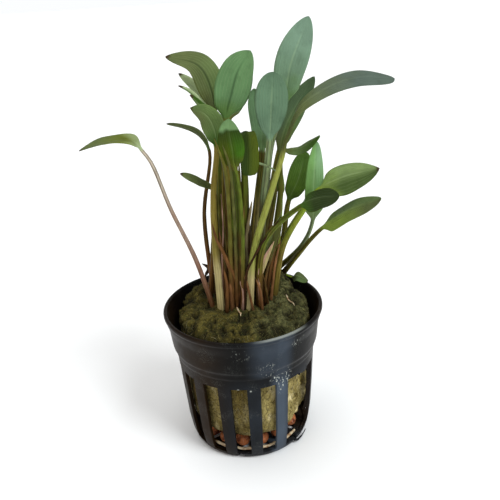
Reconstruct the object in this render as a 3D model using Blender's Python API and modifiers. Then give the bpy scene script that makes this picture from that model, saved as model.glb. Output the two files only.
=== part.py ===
"""A potted aquarium plant, Cryptocoryne lucens: a slotted net pot, a plug of rockwool in it, and a rosette of
lance-shaped leaves on long stalks.

Metres, +Z up. The origin is the centre of the pot's foot, on the surface that it stands on, and the plant's
front faces -Y. The lengths below are in millimetres and are turned to metres by MM as they are used.
"""

from math import acos, atan2, cos, degrees, exp, pi, radians, sin, tan

import bmesh
import bpy
import numpy as np
from mathutils import Matrix

MM = 0.001
GAP = 0.3

# The net pot: a moulded shell, 55 mm across its rim and 50 mm tall.
RIM_HEIGHT = 50.0
RIM_RADIUS = 27.4
WALL = 1.2
FLOOR = 1.3
POT_STEPS = 45

# Its slots run down the lower wall, one rib apart. One rib has broken away, so two slots are one window.
SLOTS = 15
SLOT_ANGLE = 13.2
FIRST_RIB = 4.0
SLOT_TOP = 30.6
SLOT_FOOT = 2.1
SLOT_CUT_REACH = (17.8, 30.0)
BROKEN_RIB = 2
FLOOR_SLOT_WIDTH = 2.4
FLOOR_SLOT_REACH = (8.5, 17.0)

# A nick in the foot's edge, and a split through the ring below the broken rib: turn, radius, height and size.
NICK_TURN = -12.0
NICK_PLACE = (21.5, 0.0)
NICK_SIZE = (1.6, 6.0, 1.6)
NICK_TILT = 45
SPLIT_TURN = 47.0
SPLIT_PLACE = (22.0, 1.05)
SPLIT_SIZE = (0.9, 8.0, 6.0)
SPLIT_TILT = 20

# The rockwool plug stands on clay pellets. Each ring of its outline is a share of its radius and its height.
PLUG_FOOT = 7.1
PLUG_TOP = 50.5
PLUG_RADIUS = (20.4, 22.7)
PLUG_RINGS = (
    (0, 1), (0.28, 1), (0.52, 1), (0.74, 1), (0.91, 0.99), (1, 0.94),
    (1, 0.72), (1, 0.48), (1, 0.24), (0.97, 0.06), (0.85, 0), (0, 0),
)
PLUG_SIDES = 30
PLUG_LUMPS = 0.18

# Its top is a mossy dome, oval by this much along this turn, with hummocks: x, y, rise and spread.
TOP_OVAL = 0.9
TOP_OVAL_TURN = 42.0
DOME_FALL = 0.005
HUMMOCKS = ((14.5, 14.0, 7.5, 9.0), (-13.0, 14.0, 3.0, 8.0))

# The plug has crumbled away behind the double window: how deep, and where and how wide, as a turn in degrees
# and as a share of the plug's height.
BITE_DEPTH = 3.0
BITE_TURN = (68.0, 9.0)
BITE_HEIGHT = (0.32, 0.3)

# Baked clay balls fill the space under the plug.
PELLET_RADIUS = 2.6
PELLET_SPIN = 50
PELLET_RING = 15.4
PELLET_TURNS = (-58, -35, -12, 12, 38, 66, 95, 130, 160, 195, 230, 265)
INNER_PELLETS = ((-4.5, -6.5), (5.0, -5.5), (0.5, 5.5))

# Pale roots that lie on the floor behind the foot of the slots: from and to, in degrees round the pot.
ROOTS = {
    "root_left": (-44, -25),
    "root_front": (-20, 2),
    "root_front_right": (8, 27),
    "root_right": (32, 56),
}
ROOT_RADIUS = 0.5
ROOT_RING = 18.8
ROOT_HEIGHT = 2.6
ROOT_POINTS = 7

# Each leaf: its foot on the plug (x, y), the places that its stalk passes, of which the last is the neck
# where the blade starts, the places that the blade passes up to its tip, the blade's width, and the way
# that the width runs. fold is how steeply the two halves rise from the midrib, widest is how far along the
# blade its widest place is, power is how steeply it narrows to both ends, and stalk_radius is the stalk's
# radius at the foot. A stalk narrows to NECK_SHARE of that at the neck.
LEAVES = {
    "leaf_tallest": dict(
        foot=(3.6, 3.4), stalk=[(10, 7.5, 85.5), (13, 8.5, 103), (17.5, 9, 114.5)],
        blade=[(20, 10, 126.5), (26.5, 13, 140.5)],
        width=10.2, across=(1, 0.1, 0.3), fold=0.12, widest=0.5, stalk_radius=1.4),
    "leaf_middle_pale": dict(
        foot=(5.6, -0.2), stalk=[(8.5, -3.5, 84.5), (11.5, -5, 106.5)],
        blade=[(12.5, -5, 117.5), (13.5, -3, 126.5)],
        width=10, across=(1, 0, 0.05), fold=0.12, widest=0.6, stalk_radius=1.4),
    "leaf_middle_behind": dict(
        foot=(0.4, 5), stalk=[(7.5, 4, 87), (9.5, 4, 101)], blade=[(10, 4, 112), (8, 5, 121)],
        width=8, across=(0.9, -0.4, 0), stalk_radius=1.5),
    "leaf_left_broad": dict(
        foot=(-1.8, 1), stalk=[(-1, 0, 85.5), (-1.3, -2, 113)],
        blade=[(1, -3, 121), (3.5, -2, 127.5), (7.5, 0, 132.5)],
        width=11, across=(1, 0.2, 0.15), fold=0.12, widest=0.49, stalk_radius=1.75),
    "leaf_left_arching": dict(
        foot=(-3.5, 6), stalk=[(-4, 6, 80), (-5, 8, 113)],
        blade=[(-5, 9, 120), (-8.5, 11, 128), (-18.7, 13, 131.3)],
        width=11, across=(0.6, 0.6, 0.3), widest=0.42, power=1.15, stalk_radius=1.5),
    "leaf_left_upper": dict(
        foot=(-6, 9), stalk=[(-5.5, 11, 84), (-5.5, 12, 112)],
        blade=[(-8.5, 14, 118), (-11.5, 16, 122), (-15.5, 18, 125.5)],
        width=4.6, across=(0.5, 0.8, 0.3)),
    "leaf_left_middle": dict(
        foot=(-8.5, 4), stalk=[(-6, 4, 86.5), (-5, 2, 113)],
        blade=[(-8.5, 1, 118.5), (-11.5, 0, 122), (-14.5, -1, 124)],
        width=3.6, across=(0.1, 0.95, 0.15)),
    "leaf_left_lower": dict(
        foot=(-5, 1.5), stalk=[(-5, 0.5, 85.5), (-4.5, -3, 112.5)],
        blade=[(-7, -5, 117), (-9, -6, 119.5), (-11, -7, 122)],
        width=3.6, across=(0.4, 0.9, 0)),
    "leaf_left_short": dict(
        foot=(-7.3, -3.8), stalk=[(-7.5, -4, 77), (-6.5, -6, 93), (-4.5, -6.5, 106)],
        blade=[(-5, -7, 112), (-7, -9, 116.5), (-11, -11, 119)],
        width=6.4, across=(0.8, 0.5, 0.3), widest=0.42, stalk_radius=1.4),
    "leaf_left_thin_arch": dict(
        foot=(-10, 8), stalk=[(-11, 11, 79), (-7.5, 14, 100)],
        blade=[(-9.5, 15, 104.5), (-12.5, 17, 107), (-21.5, 21, 109)],
        width=4, across=(0.2, 0.9, 0.1), stalk_radius=0.9),
    "leaf_left_low": dict(
        foot=(-11.5, 1.5), stalk=[(-8.5, 1, 71.5), (-6.5, -2, 91)],
        blade=[(-11, -5, 95.5), (-16, -9, 99.5)],
        width=3.7, across=(0.4, 0.8, 0.4), stalk_radius=0.9),
    "leaf_drooping": dict(
        foot=(-9.9, -1.4),
        stalk=[(-14.5, -3, 69), (-20.5, -5, 87.5), (-24.5, -6, 102.5), (-26.5, -7, 106.5)],
        blade=[(-29, -8, 110), (-37, -10, 110.5), (-44, -12, 109)],
        width=8, across=(0.1, 0.98, 0.15), widest=0.42, stalk_radius=1),
    "leaf_front_cupped": dict(
        foot=(-1.6, -3.8), stalk=[(0.8, -5.5, 84), (0.4, -9.5, 99.5)],
        blade=[(0.1, -12, 106), (-0.5, -12.5, 111.5), (-0.3, -10, 115)],
        width=6.8, across=(1, 0.25, 0.1), fold=0.2, widest=0.62, power=1.2, stalk_radius=1.45),
    "leaf_front_hanging": dict(
        foot=(1.8, 0), stalk=[(3, 0, 82), (3.5, -1.5, 100.5), (3.5, -4, 108.5)],
        blade=[(5, -6.7, 109.8), (5.3, -7.5, 105.5), (4.9, -7.7, 97)],
        width=5.8, across=(1, 0.2, 0.1), fold=0.15, widest=0.7, power=0.7, stalk_radius=1.5),
    "leaf_right_dark": dict(
        foot=(4.3, 8), stalk=[(11.7, 11, 83), (15.5, 14, 97.5)],
        blade=[(18.5, 15, 107), (22.5, 17, 113.5), (29, 20, 121.5)],
        width=8, across=(0.9, 0.4, 0.3), widest=0.5, stalk_radius=1.4),
    "leaf_right_long_arch": dict(
        foot=(2, -5.5), stalk=[(4.5, -6, 70), (10.5, -6, 88.5), (15, -5, 101)],
        blade=[(17.3, -4, 108), (20.8, -3, 115), (28, -1, 119.7), (39, 2, 122.6), (52, 6, 121)],
        width=6.8, across=(0.25, 0.75, 0.5), fold=0.2, widest=0.6, power=1, stalk_radius=1.5),
    "leaf_right_curled": dict(
        foot=(7.6, 2.1), stalk=[(14.8, 2.5, 87), (16, 1, 101.5)], blade=[(21, -1, 102.5), (27, -4, 107)],
        width=6, across=(0.2, 0.9, 0.3), stalk_radius=1.25),
    "leaf_right_inner": dict(
        foot=(10.5, 9.5), stalk=[(15.5, 9, 68.5), (18, 10, 82)], blade=[(21.5, 10, 89.5), (24.5, 12, 98.5)],
        width=7.6, across=(0.9, -0.3, 0.3), power=1.1, stalk_radius=1.3),
    "leaf_right_upright": dict(
        foot=(12.2, 13.6), stalk=[(22, 9, 66), (25.5, 6, 75.5)], blade=[(26, 4, 91), (27, 4, 103.5)],
        width=7, across=(1, 0.3, 0.1), widest=0.35, power=0.8, stalk_radius=1),
    "leaf_right_folded": dict(
        foot=(10.8, 2.2), stalk=[(15, 2, 69.5), (22, 1, 82), (27, 0, 88.5)],
        blade=[(34.5, -1, 92.5), (46, -2, 95)],
        width=11.5, across=(0.3, 0.7, 0.7), fold=0.35, widest=0.42, stalk_radius=1.4),
    "leaf_right_front": dict(
        foot=(5.3, -3.2), stalk=[(8.7, -8.5, 76), (19.5, -12, 87.5)],
        blade=[(25, -14, 90.5), (30.5, -17, 91.5)],
        width=8.4, across=(0.3, 0.8, 0.6), widest=0.45, power=1.1),
    "leaf_right_low": dict(
        foot=(15.5, 12.5), stalk=[(20, 6, 63.5), (27.5, 0, 75)], blade=[(35.5, -5, 82.5), (44.5, -11, 88)],
        width=8.5, across=(0.3, 0.7, 0.6), widest=0.4, power=0.95, stalk_radius=1),
    "leaf_right_young": dict(
        foot=(11.4, 6.8), stalk=[(14.8, 7, 78.5), (15.3, 7, 84.5)], blade=[(15, 6.5, 89.5), (15, 6, 94.5)],
        width=4.2, across=(0.6, 0.7, 0.3), fold=0.3, widest=0.5, stalk_radius=0.9),
    "leaf_back_left": dict(
        foot=(-3, 10.5), stalk=[(-3.5, 14, 77.5), (-0.5, 20, 108.5)],
        blade=[(1.5, 25, 115.5), (3, 32, 120.5)],
        width=9, across=(1, 0.2, 0), stalk_radius=1.4),
    "leaf_back_middle": dict(
        foot=(1, 11.5), stalk=[(9, 16, 79.5), (13.5, 24, 100.5)], blade=[(14, 31, 110.5), (14, 40, 111.5)],
        width=8, across=(1, 0, 0)),
    "leaf_back_right": dict(
        foot=(7, 12.3), stalk=[(13.2, 17, 80.5), (18, 22, 102.5)], blade=[(23, 28, 109.5), (27, 36, 113)],
        width=7, across=(0.9, -0.4, 0), stalk_radius=1.4),
    "leaf_back_outer": dict(
        foot=(-7, 12.5), stalk=[(-6, 17, 76.5), (-4, 24, 98)], blade=[(-4, 30, 107), (-5, 38, 108)],
        width=8, across=(0.9, 0.4, 0)),
    "young_shoot": dict(
        foot=(7.4, 6.4), stalk=[(7.8, 6.1, 55)], blade=[(8.8, 5.6, 57.4), (11.2, 5, 60.6)],
        width=3.6, across=(0.9, 0.3, 0), fold=0.3, widest=0.5, power=1.1, stalk_radius=0.8),
    "small_leaf_on_plug": dict(
        foot=(13.8, 15.3), stalk=[(18.5, 13, 52)], blade=[(20.5, 11, 53), (24, 9.5, 51.5)],
        width=4.6, across=(0, 0.9, 0.3), fold=0.15, widest=0.5, power=1, stalk_radius=0.5),
}
NECK_SHARE = 0.65
BLADE_THICKNESS = 0.7
OUTLINE_POWER = 1.35
STALK_RADIUS = 1.2
FOOT_GAP = 0.65
STALK_RINGS = 5
BLADE_RINGS = 7
SPAN_STEPS = 24


def clear_scene():
    for thing in list(bpy.data.objects):
        bpy.data.objects.remove(thing, do_unlink=True)


def new_collection(name):
    collection = bpy.data.collections.new(name)
    bpy.context.scene.collection.children.link(collection)
    return collection


def make_material(name, colour, roughness):
    material = bpy.data.materials.new(name)
    material.use_nodes = True
    shader = material.node_tree.nodes["Principled BSDF"]
    shader.inputs["Base Color"].default_value = (*colour, 1.0)
    shader.inputs["Roughness"].default_value = roughness
    return material


def make_object(name, mesh, collection, material=None):
    thing = bpy.data.objects.new(name, mesh)
    collection.objects.link(thing)
    if material:
        mesh.materials.append(material)
    return thing


def round_shaded(thing, crease=35):
    thing.data.shade_smooth()
    thing.data.set_sharp_from_angle(angle=radians(crease))


def around(radius, turn, height):
    """A place on a circle, where turn is in degrees from the front (-Y) towards the right (+X)."""
    return radius * sin(radians(turn)), -radius * cos(radians(turn)), height


def pot_profile():
    """The wall's outline: down the outside, across the foot to the axis, and up the inside to the rim."""
    outer = [
        (26.3, RIM_HEIGHT), (RIM_RADIUS - 0.4, RIM_HEIGHT), (RIM_RADIUS, RIM_HEIGHT - 0.7),
        (27.1, 47.9), (26.0, 44.4), (25.3, 37.6), (24.6, 36.6), (24.0, 34.0), (23.9, SLOT_TOP),
        (23.3, 20.0), (22.6, 10.0), (21.6, 3.4), (20.6, 0.7), (19.6, 0.0), (0.0, 0.0),
    ]
    inner = [
        (0.0, FLOOR), (19.3, FLOOR), (20.4, 3.4), (22.6 - WALL, 10.0), (23.9 - WALL, SLOT_TOP),
        (24.0 - WALL, 35.0), (25.3 - WALL, 38.4), (26.0 - WALL, 45.0),
    ]
    return outer + inner


def turned_mesh(name, profile, steps, collection):
    """A closed profile in millimetres turned round the Z axis by a Screw modifier."""
    mesh = bpy.data.meshes.new(name)
    corners = [(radius * MM, 0.0, height * MM) for radius, height in profile]
    edges = [(i, (i + 1) % len(corners)) for i in range(len(corners))]
    axis_edge = next(i for i in range(len(corners)) if corners[i][0] == 0.0)
    edges.remove((axis_edge, axis_edge + 1))
    mesh.from_pydata(corners, edges, [])
    thing = make_object(name, mesh, collection)
    screw = thing.modifiers.new("turned", "SCREW")
    screw.axis = "Z"
    screw.steps = steps
    screw.render_steps = steps
    screw.use_merge_vertices = True
    screw.merge_threshold = 0.00001
    return thing


def turned(shape, angle, axis):
    """The bmesh turned by an angle in degrees about an axis through the origin."""
    matrix = Matrix.Rotation(radians(angle), 3, axis)
    bmesh.ops.rotate(shape, verts=shape.verts, cent=(0, 0, 0), matrix=matrix)


def wedge_cutter(name, turn, angle, collection):
    """A block as tall as the slots. Its two sides are radial planes, angle degrees apart, centred on turn."""
    mesh = bpy.data.meshes.new(name)
    shape = bmesh.new()
    bmesh.ops.create_cube(shape, size=1.0)
    for corner in shape.verts:
        reach = SLOT_CUT_REACH[1] if corner.co.y < 0 else SLOT_CUT_REACH[0]
        side = 1 if corner.co.x > 0 else -1
        height = SLOT_TOP if corner.co.z > 0 else SLOT_FOOT
        corner.co = (side * reach * tan(radians(angle / 2)) * MM, -reach * MM, height * MM)
    turned(shape, turn, "Z")
    bmesh.ops.recalc_face_normals(shape, faces=shape.faces)
    shape.to_mesh(mesh)
    shape.free()
    return as_cutter(make_object(name, mesh, collection))


def block_cutter(name, size, place, turn, tilt, collection):
    """A box of this size whose centre is at place, turned round Z and tipped in its own plane."""
    mesh = bpy.data.meshes.new(name)
    shape = bmesh.new()
    bmesh.ops.create_cube(shape, size=1.0)
    bmesh.ops.scale(shape, verts=shape.verts, vec=[side * MM for side in size])
    turned(shape, tilt, "Y")
    turned(shape, turn, "Z")
    bmesh.ops.translate(shape, verts=shape.verts, vec=[side * MM for side in place])
    shape.to_mesh(mesh)
    shape.free()
    return as_cutter(make_object(name, mesh, collection))


def as_cutter(thing):
    thing.hide_render = True
    thing.display_type = "WIRE"
    return thing


def cut(thing, cutter):
    boolean = thing.modifiers.new("cut " + cutter.name, "BOOLEAN")
    boolean.operation = "DIFFERENCE"
    boolean.solver = "EXACT"
    boolean.object = cutter


def make_pot(collection, cutters, material):
    pot = turned_mesh("net_pot", pot_profile(), POT_STEPS, collection)
    pot.data.materials.append(material)
    pitch = 360 / SLOTS
    for number in range(SLOTS):
        turn = FIRST_RIB + (number + 0.5) * pitch
        if number == BROKEN_RIB:
            continue
        angle = SLOT_ANGLE
        if number == BROKEN_RIB - 1:
            turn += pitch / 2
            angle += pitch
        name = f"slot_cutter_{number + 1}"
        cut(pot, wedge_cutter(name, turn, angle, cutters))
    inner_end, outer_end = FLOOR_SLOT_REACH
    for number in range(SLOTS):
        turn = FIRST_RIB + (number + 0.5) * pitch
        size = (FLOOR_SLOT_WIDTH, outer_end - inner_end, 3 * FLOOR)
        place = around((inner_end + outer_end) / 2, turn, FLOOR / 2)
        cut(pot, block_cutter(f"floor_slot_cutter_{number + 1}", size, place, turn, 0, cutters))
    nick = around(NICK_PLACE[0], NICK_TURN, NICK_PLACE[1])
    cut(pot, block_cutter("nick_cutter", NICK_SIZE, nick, NICK_TURN, NICK_TILT, cutters))
    split = around(SPLIT_PLACE[0], SPLIT_TURN, SPLIT_PLACE[1])
    cut(pot, block_cutter("split_cutter", SPLIT_SIZE, split, SPLIT_TURN, SPLIT_TILT, cutters))


def plug_height(x, y):
    """The height of the plug's top, in millimetres, over a place in its plan."""
    height = PLUG_TOP - DOME_FALL * (x * x + y * y)
    for middle_x, middle_y, rise, spread in HUMMOCKS:
        height += rise * exp(-((x - middle_x) ** 2 + (y - middle_y) ** 2) / spread**2)
    return height


def make_plug(collection, material):
    """A ball whose rings are moved to those of PLUG_RINGS, with an uneven side and a top like plug_height."""
    mesh = bpy.data.meshes.new("rockwool_plug")
    shape = bmesh.new()
    levels = len(PLUG_RINGS) - 1
    bmesh.ops.create_uvsphere(shape, u_segments=PLUG_SIDES, v_segments=levels, radius=1.0)
    for point in shape.verts:
        out, share = PLUG_RINGS[round(acos(max(-1.0, min(1.0, point.co.z))) / pi * levels)]
        bearing = atan2(point.co.x, -point.co.y)
        radius = PLUG_RADIUS[0] + (PLUG_RADIUS[1] - PLUG_RADIUS[0]) * share
        radius += TOP_OVAL * share**2 * cos(2 * (bearing - radians(TOP_OVAL_TURN)))
        radius += PLUG_LUMPS * (sin(5 * bearing + 7 * share) + sin(9 * bearing - 11 * share + 2))
        beside_bite = (degrees(bearing) - BITE_TURN[0]) / BITE_TURN[1]
        above_bite = (share - BITE_HEIGHT[0]) / BITE_HEIGHT[1]
        radius -= BITE_DEPTH * exp(-(beside_bite**2) - above_bite**2)
        x, y = out * radius * sin(bearing), -out * radius * cos(bearing)
        height = PLUG_FOOT + (PLUG_TOP - PLUG_FOOT) * share
        height += (plug_height(x, y) - PLUG_TOP) * max(0.0, 2.5 * share - 1.5)
        point.co = (x * MM, y * MM, height * MM)
    shape.to_mesh(mesh)
    shape.free()
    round_shaded(make_object("rockwool_plug", mesh, collection, material))


def make_pellets(collection, material):
    """Baked clay balls, each a little squashed, in a ring on the floor and three inside it."""
    places = [around(PELLET_RING, turn, 0)[:2] for turn in PELLET_TURNS] + list(INNER_PELLETS)
    for number, (x, y) in enumerate(places):
        mesh = bpy.data.meshes.new(f"clay_pellet_{number + 1}")
        shape = bmesh.new()
        bmesh.ops.create_icosphere(shape, subdivisions=2, radius=PELLET_RADIUS * MM)
        squash = 0.92 + 0.05 * cos(2.3 * number)
        bmesh.ops.scale(shape, verts=shape.verts, vec=(1.0, squash, squash))
        turned(shape, PELLET_SPIN * number, "Z")
        shape.to_mesh(mesh)
        shape.free()
        pellet = make_object(mesh.name, mesh, collection, material)
        pellet.location = (x * MM, y * MM, (FLOOR + GAP + PELLET_RADIUS * squash) * MM)
        round_shaded(pellet)


def make_roots(collection, material):
    for number, (name, (start, end)) in enumerate(ROOTS.items()):
        curve = bpy.data.curves.new(name, "CURVE")
        curve.dimensions = "3D"
        curve.bevel_depth = ROOT_RADIUS * MM
        curve.bevel_resolution = 1
        curve.use_fill_caps = True
        line = curve.splines.new("POLY")
        line.points.add(ROOT_POINTS - 1)
        for i in range(ROOT_POINTS):
            share = i / (ROOT_POINTS - 1)
            wave = sin(2.2 * pi * share + number)
            turn = start + (end - start) * share
            place = around(ROOT_RING + 0.15 * wave, turn, ROOT_HEIGHT + 0.25 * wave)
            line.points[i].co = (*[side * MM for side in place], 1.0)
        curve.materials.append(material)
        collection.objects.link(bpy.data.objects.new(name, curve))


def smooth_path(places):
    """SPAN_STEPS points to a span of a curve through the places.

    Each span is a cubic whose slope at a place is that of the parabola through it and its two neighbours.
    """
    knots = np.concatenate([[0.0], np.cumsum(np.linalg.norm(np.diff(places, axis=0), axis=1) ** 0.5)])
    slopes = np.gradient(places, knots, axis=0)
    span = np.repeat(np.arange(len(places) - 1), SPAN_STEPS)
    share = np.tile(np.arange(SPAN_STEPS) / SPAN_STEPS, len(places) - 1)[:, None]
    step = np.diff(knots)[span][:, None]
    path = ((1 + 2 * share) * places[span] + share * step * slopes[span]) * (1 - share) ** 2
    path += ((3 - 2 * share) * places[span + 1] + (share - 1) * step * slopes[span + 1]) * share**2
    return np.vstack([path, places[-1]])


def spread_evenly(path, count):
    """The path again, as count points the same distance apart along it."""
    along = np.concatenate([[0.0], np.cumsum(np.linalg.norm(np.diff(path, axis=0), axis=1))])
    marks = np.linspace(0, along[-1], count)
    return np.stack([np.interp(marks, along, path[:, axis]) for axis in range(3)], axis=1)


def leaf_rings(
        foot, stalk, blade, width, across,
        fold=0.25, widest=0.55, power=OUTLINE_POWER, stalk_radius=STALK_RADIUS):
    """Rings of eight points along a leaf: round up the stalk, then a thin lens with a fold at its midrib.

    The blade's half width at share s of its length is s**p * (1 - s)**q, scaled to 1 at widest.
    The foot stands FOOT_GAP above the highest place of the plug's top that is round it.
    """
    reach = (-stalk_radius, stalk_radius)
    ground = max(plug_height(foot[0] + over, foot[1] + up) for over in reach for up in reach)
    start = (*foot, ground + FOOT_GAP)
    places = np.array([start, *stalk, *blade], dtype=float)
    path = smooth_path(places)
    neck = len(stalk) * SPAN_STEPS
    stalk_rings = STALK_RINGS + 2 * max(0, len(stalk) - 2)
    stalk_centres = spread_evenly(path[:neck + 1], stalk_rings)
    blade_centres = spread_evenly(path[neck:], BLADE_RINGS)[1:]
    centres = np.vstack([stalk_centres, blade_centres])

    forward = np.gradient(centres, axis=0)
    forward[0] = (0, 0, 1)
    forward /= np.linalg.norm(forward, axis=1)[:, None]
    sideways = np.array(across, dtype=float)
    sideways = sideways - (forward @ sideways)[:, None] * forward
    sideways /= np.linalg.norm(sideways, axis=1)[:, None]
    upward = np.cross(sideways, forward)

    share = np.concatenate([np.zeros(stalk_rings), np.linspace(0, 1, BLADE_RINGS)[1:]])
    outline = (share / widest) ** (power * widest)
    outline *= ((1 - share) / (1 - widest)) ** (power * (1 - widest))
    neck_radius = NECK_SHARE * stalk_radius
    up_stalk = np.linspace(stalk_radius, neck_radius, stalk_rings)
    stem = np.concatenate([up_stalk, neck_radius * (1 - share[stalk_rings:])])
    half = np.maximum((stem**2 + (width / 2 * outline) ** 2) ** 0.5, GAP)
    thick = BLADE_THICKNESS / 2 * (1 - 0.4 * share)

    ring = np.radians([180, 135, 90, 45, 0, -45, -90, -135])
    edge_to_edge = np.array([-1, -0.5, 0, 0.5, 1, 0.5, 0, -0.5])
    face = np.array([0, 1, 1, 1, 0, -1, -1, -1])
    flat = np.clip(5 * share, 0, 1)[:, None]
    out = (1 - flat) * stem[:, None] * np.cos(ring) + flat * half[:, None] * edge_to_edge
    lift = (1 - flat) * stem[:, None] * np.sin(ring)
    lift += flat * (thick[:, None] * face + fold * half[:, None] * np.abs(edge_to_edge))
    return centres[:, None] + out[..., None] * sideways[:, None] + lift[..., None] * upward[:, None]


def make_leaf(name, shape, collection, material):
    rings = leaf_rings(**shape)
    count, sides = rings.shape[:2]
    corner = np.arange(count * sides).reshape(count, sides)
    beside = np.roll(corner, -1, axis=1)
    walls = np.stack([corner[:-1], beside[:-1], beside[1:], corner[1:]], axis=-1).reshape(-1, 4)
    caps = [corner[0][::-1].tolist(), corner[-1].tolist()]
    mesh = bpy.data.meshes.new(name)
    mesh.from_pydata((rings.reshape(-1, 3) * MM).tolist(), [], walls.tolist() + caps)
    round_shaded(make_object(name, mesh, collection, material), crease=60)


def main():
    clear_scene()
    plant = new_collection("potted_cryptocoryne_lucens")
    cutters = new_collection("cutters")
    cutters.hide_render = True
    black_plastic = make_material("black plastic", (0.016, 0.018, 0.022), 0.35)
    rockwool = make_material("mossy rockwool", (0.12, 0.11, 0.04), 0.95)
    clay = make_material("baked clay", (0.32, 0.11, 0.05), 0.85)
    root = make_material("pale root", (0.62, 0.55, 0.42), 0.6)
    leaf = make_material("leaf", (0.10, 0.18, 0.07), 0.4)
    make_pot(plant, cutters, black_plastic)
    make_plug(plant, rockwool)
    make_pellets(plant, clay)
    make_roots(plant, root)
    for name, shape in LEAVES.items():
        make_leaf(name, shape, plant, leaf)


main()
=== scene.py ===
"""The looks of a potted aquarium plant, Cryptocoryne lucens, built around its solids.

Metres, +Z up. The lengths below are in millimetres, as a mould maker or a grower would give them, and
new_piece turns them to metres. A turn is in degrees round the pot, from the front (-Y) towards the right
(+X). Colours are written as a screen's 0 to 255 levels.
"""

from math import radians

import bpy
import numpy as np
from mathutils import Matrix, Vector


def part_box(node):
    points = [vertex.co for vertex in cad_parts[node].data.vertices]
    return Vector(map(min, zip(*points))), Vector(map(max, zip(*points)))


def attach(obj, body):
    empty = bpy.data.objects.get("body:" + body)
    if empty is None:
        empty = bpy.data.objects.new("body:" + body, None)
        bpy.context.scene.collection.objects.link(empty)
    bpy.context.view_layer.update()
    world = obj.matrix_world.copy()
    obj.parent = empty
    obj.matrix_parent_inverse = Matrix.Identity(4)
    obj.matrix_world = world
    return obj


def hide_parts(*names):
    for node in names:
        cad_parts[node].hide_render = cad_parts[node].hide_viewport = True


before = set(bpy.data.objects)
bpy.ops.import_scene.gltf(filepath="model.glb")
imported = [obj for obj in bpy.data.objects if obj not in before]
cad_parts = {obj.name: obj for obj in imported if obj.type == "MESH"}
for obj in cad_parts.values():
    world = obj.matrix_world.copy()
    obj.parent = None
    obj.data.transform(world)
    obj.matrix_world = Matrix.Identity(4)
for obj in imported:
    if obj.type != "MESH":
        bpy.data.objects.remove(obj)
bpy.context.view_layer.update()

# The net pot
# One moulding of black polypropylene, 55 mm across its rim and 50 mm tall: a thin tapered wall with a rolled
# lip, a collar, fifteen slots down its lower half and a slotted floor. A rib has broken out, and the foot
# ring split there.
MM = 0.001
LIP_RADIUS = 0.67
LIP_CENTRE = (26.73, 49.33)
SLOTS = 15
PITCH = 360 / SLOTS
SLOT_ANGLE = 13.2
FIRST_RIB = 4.0
SLOT_TOP = 30.6
SLOT_FOOT = 2.1
STUB = 0.9
BROKEN_SLOT = 1
BREAK_ROUGHNESS = 0.6
FLOOR = 1.3
FLOOR_SLOT_WIDTH = 2.4
FLOOR_SLOT_REACH = (8.5, 17.0)
FLOOR_EDGE = 18.6
FLOOR_OUTER_RING = 17.8
FLOOR_INNER_RINGS = (6.0, 3.5, 1.2)
OUTER_WALL = [
    (27.4, 49.33), (27.4, 48.7), (26.95, 48.3), (26.8, 47.2), (26.0, 44.4), (25.3, 37.6), (24.6, 36.6),
    (24.4, 34.7), (24.05, 34.3), (23.9, SLOT_TOP), (23.3, 20.0), (22.6, 10.0), (21.6, 3.4), (21.1, SLOT_FOOT),
]
INNER_WALL = [
    (26.06, 49.33), (24.8, 45.0), (24.1, 38.4), (22.8, 35.0), (22.7, SLOT_TOP), (21.4, 10.0), (20.4, 3.4),
    (19.7, SLOT_FOOT),
]
OUTER_FOOT = [(21.1, SLOT_FOOT), (20.7, 0.8), (19.9, 0.0), (FLOOR_EDGE, 0.0)]
INNER_FOOT = [(19.7, SLOT_FOOT), (19.3, FLOOR), (FLOOR_EDGE, FLOOR)]
NICK_TURN = -12.0
NICK_SPREAD = 3.2
NICK_DEPTH = 0.92
EDGE_SOFTNESS = 0.16
CELLS_IN_SLOT = 8
CELLS_IN_RIB = 7
COLLAR_ROWS = 54
SLOT_ROWS = 15
FOOT_ROWS = 8
FLOOR_SLOT_ROWS = 8
LIP_ROWS = 9
HAIR = 0.01
PLASTIC = (13, 13, 13)
# Painted light among the next colours: a grey-blue painted sheen, a warm brown of painted reflection and
# dust, and a pale lime that is also used for a painted highlight on the lip.
PAINTED_SHEEN = (70, 80, 92)
WARM_REFLECTION_AND_DUST = (34, 21, 6)
LIME_AND_LIP_HIGHLIGHT = (205, 210, 200)
SPLASHES = (
    ((11.0, -22.0, 31.8), 6.5, 1.5), ((6.5, -24.0, 37.9), 4.0, 0.9), ((-1.8, -25.6, 46.2), 4.5, 0.4),
    ((17.3, -20.9, 45.7), 4.0, 0.8),
)
SPECKS = (
    ((-6.7, -23.9, 39.2), 0.5), ((-7.7, -23.7, 38.9), 0.4), ((-2.2, -25.5, 45.8), 0.45),
    ((-1.2, -25.7, 47.0), 0.5), ((-3.4, -23.5, 30.5), 0.7), ((0.6, -23.7, 30.0), 0.5),
    ((17.3, -20.9, 45.7), 0.45), ((12.6, -21.3, 33.0), 0.6),
)


def rgb(levels):
    """A colour given as a screen's 0 to 255 levels, as linear red, green, blue and a full alpha."""
    share = np.array(levels) / 255
    linear = np.where(share > 0.04045, ((share + 0.055) / 1.055) ** 2.4, share / 12.92)
    return (*linear.tolist(), 1.0)


def added(name, data):
    """An object of this mesh, lamp or lens, put in the scene."""
    thing = bpy.data.objects.new(name, data)
    bpy.context.scene.collection.objects.link(thing)
    return thing


def new_piece(name, points, faces, finish, slot, *nodes):
    """A piece from points in millimetres and faces. It rides on the root body and stands for the nodes."""
    used, corners = np.unique(np.concatenate([block.ravel() for block in faces]), return_inverse=True)
    splits = np.cumsum([block.size for block in faces])[:-1]
    parts = np.split(corners.ravel(), splits)
    polygons = [face for part, block in zip(parts, faces) for face in part.reshape(block.shape).tolist()]
    mesh = bpy.data.meshes.new(name)
    mesh.from_pydata((points[used] * MM).tolist(), [], polygons)
    mesh.shade_smooth()
    mesh.materials.append(finish.material)
    piece = added(name, mesh)
    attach(piece, "root")
    if nodes:
        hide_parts(*nodes)
    return piece


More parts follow.
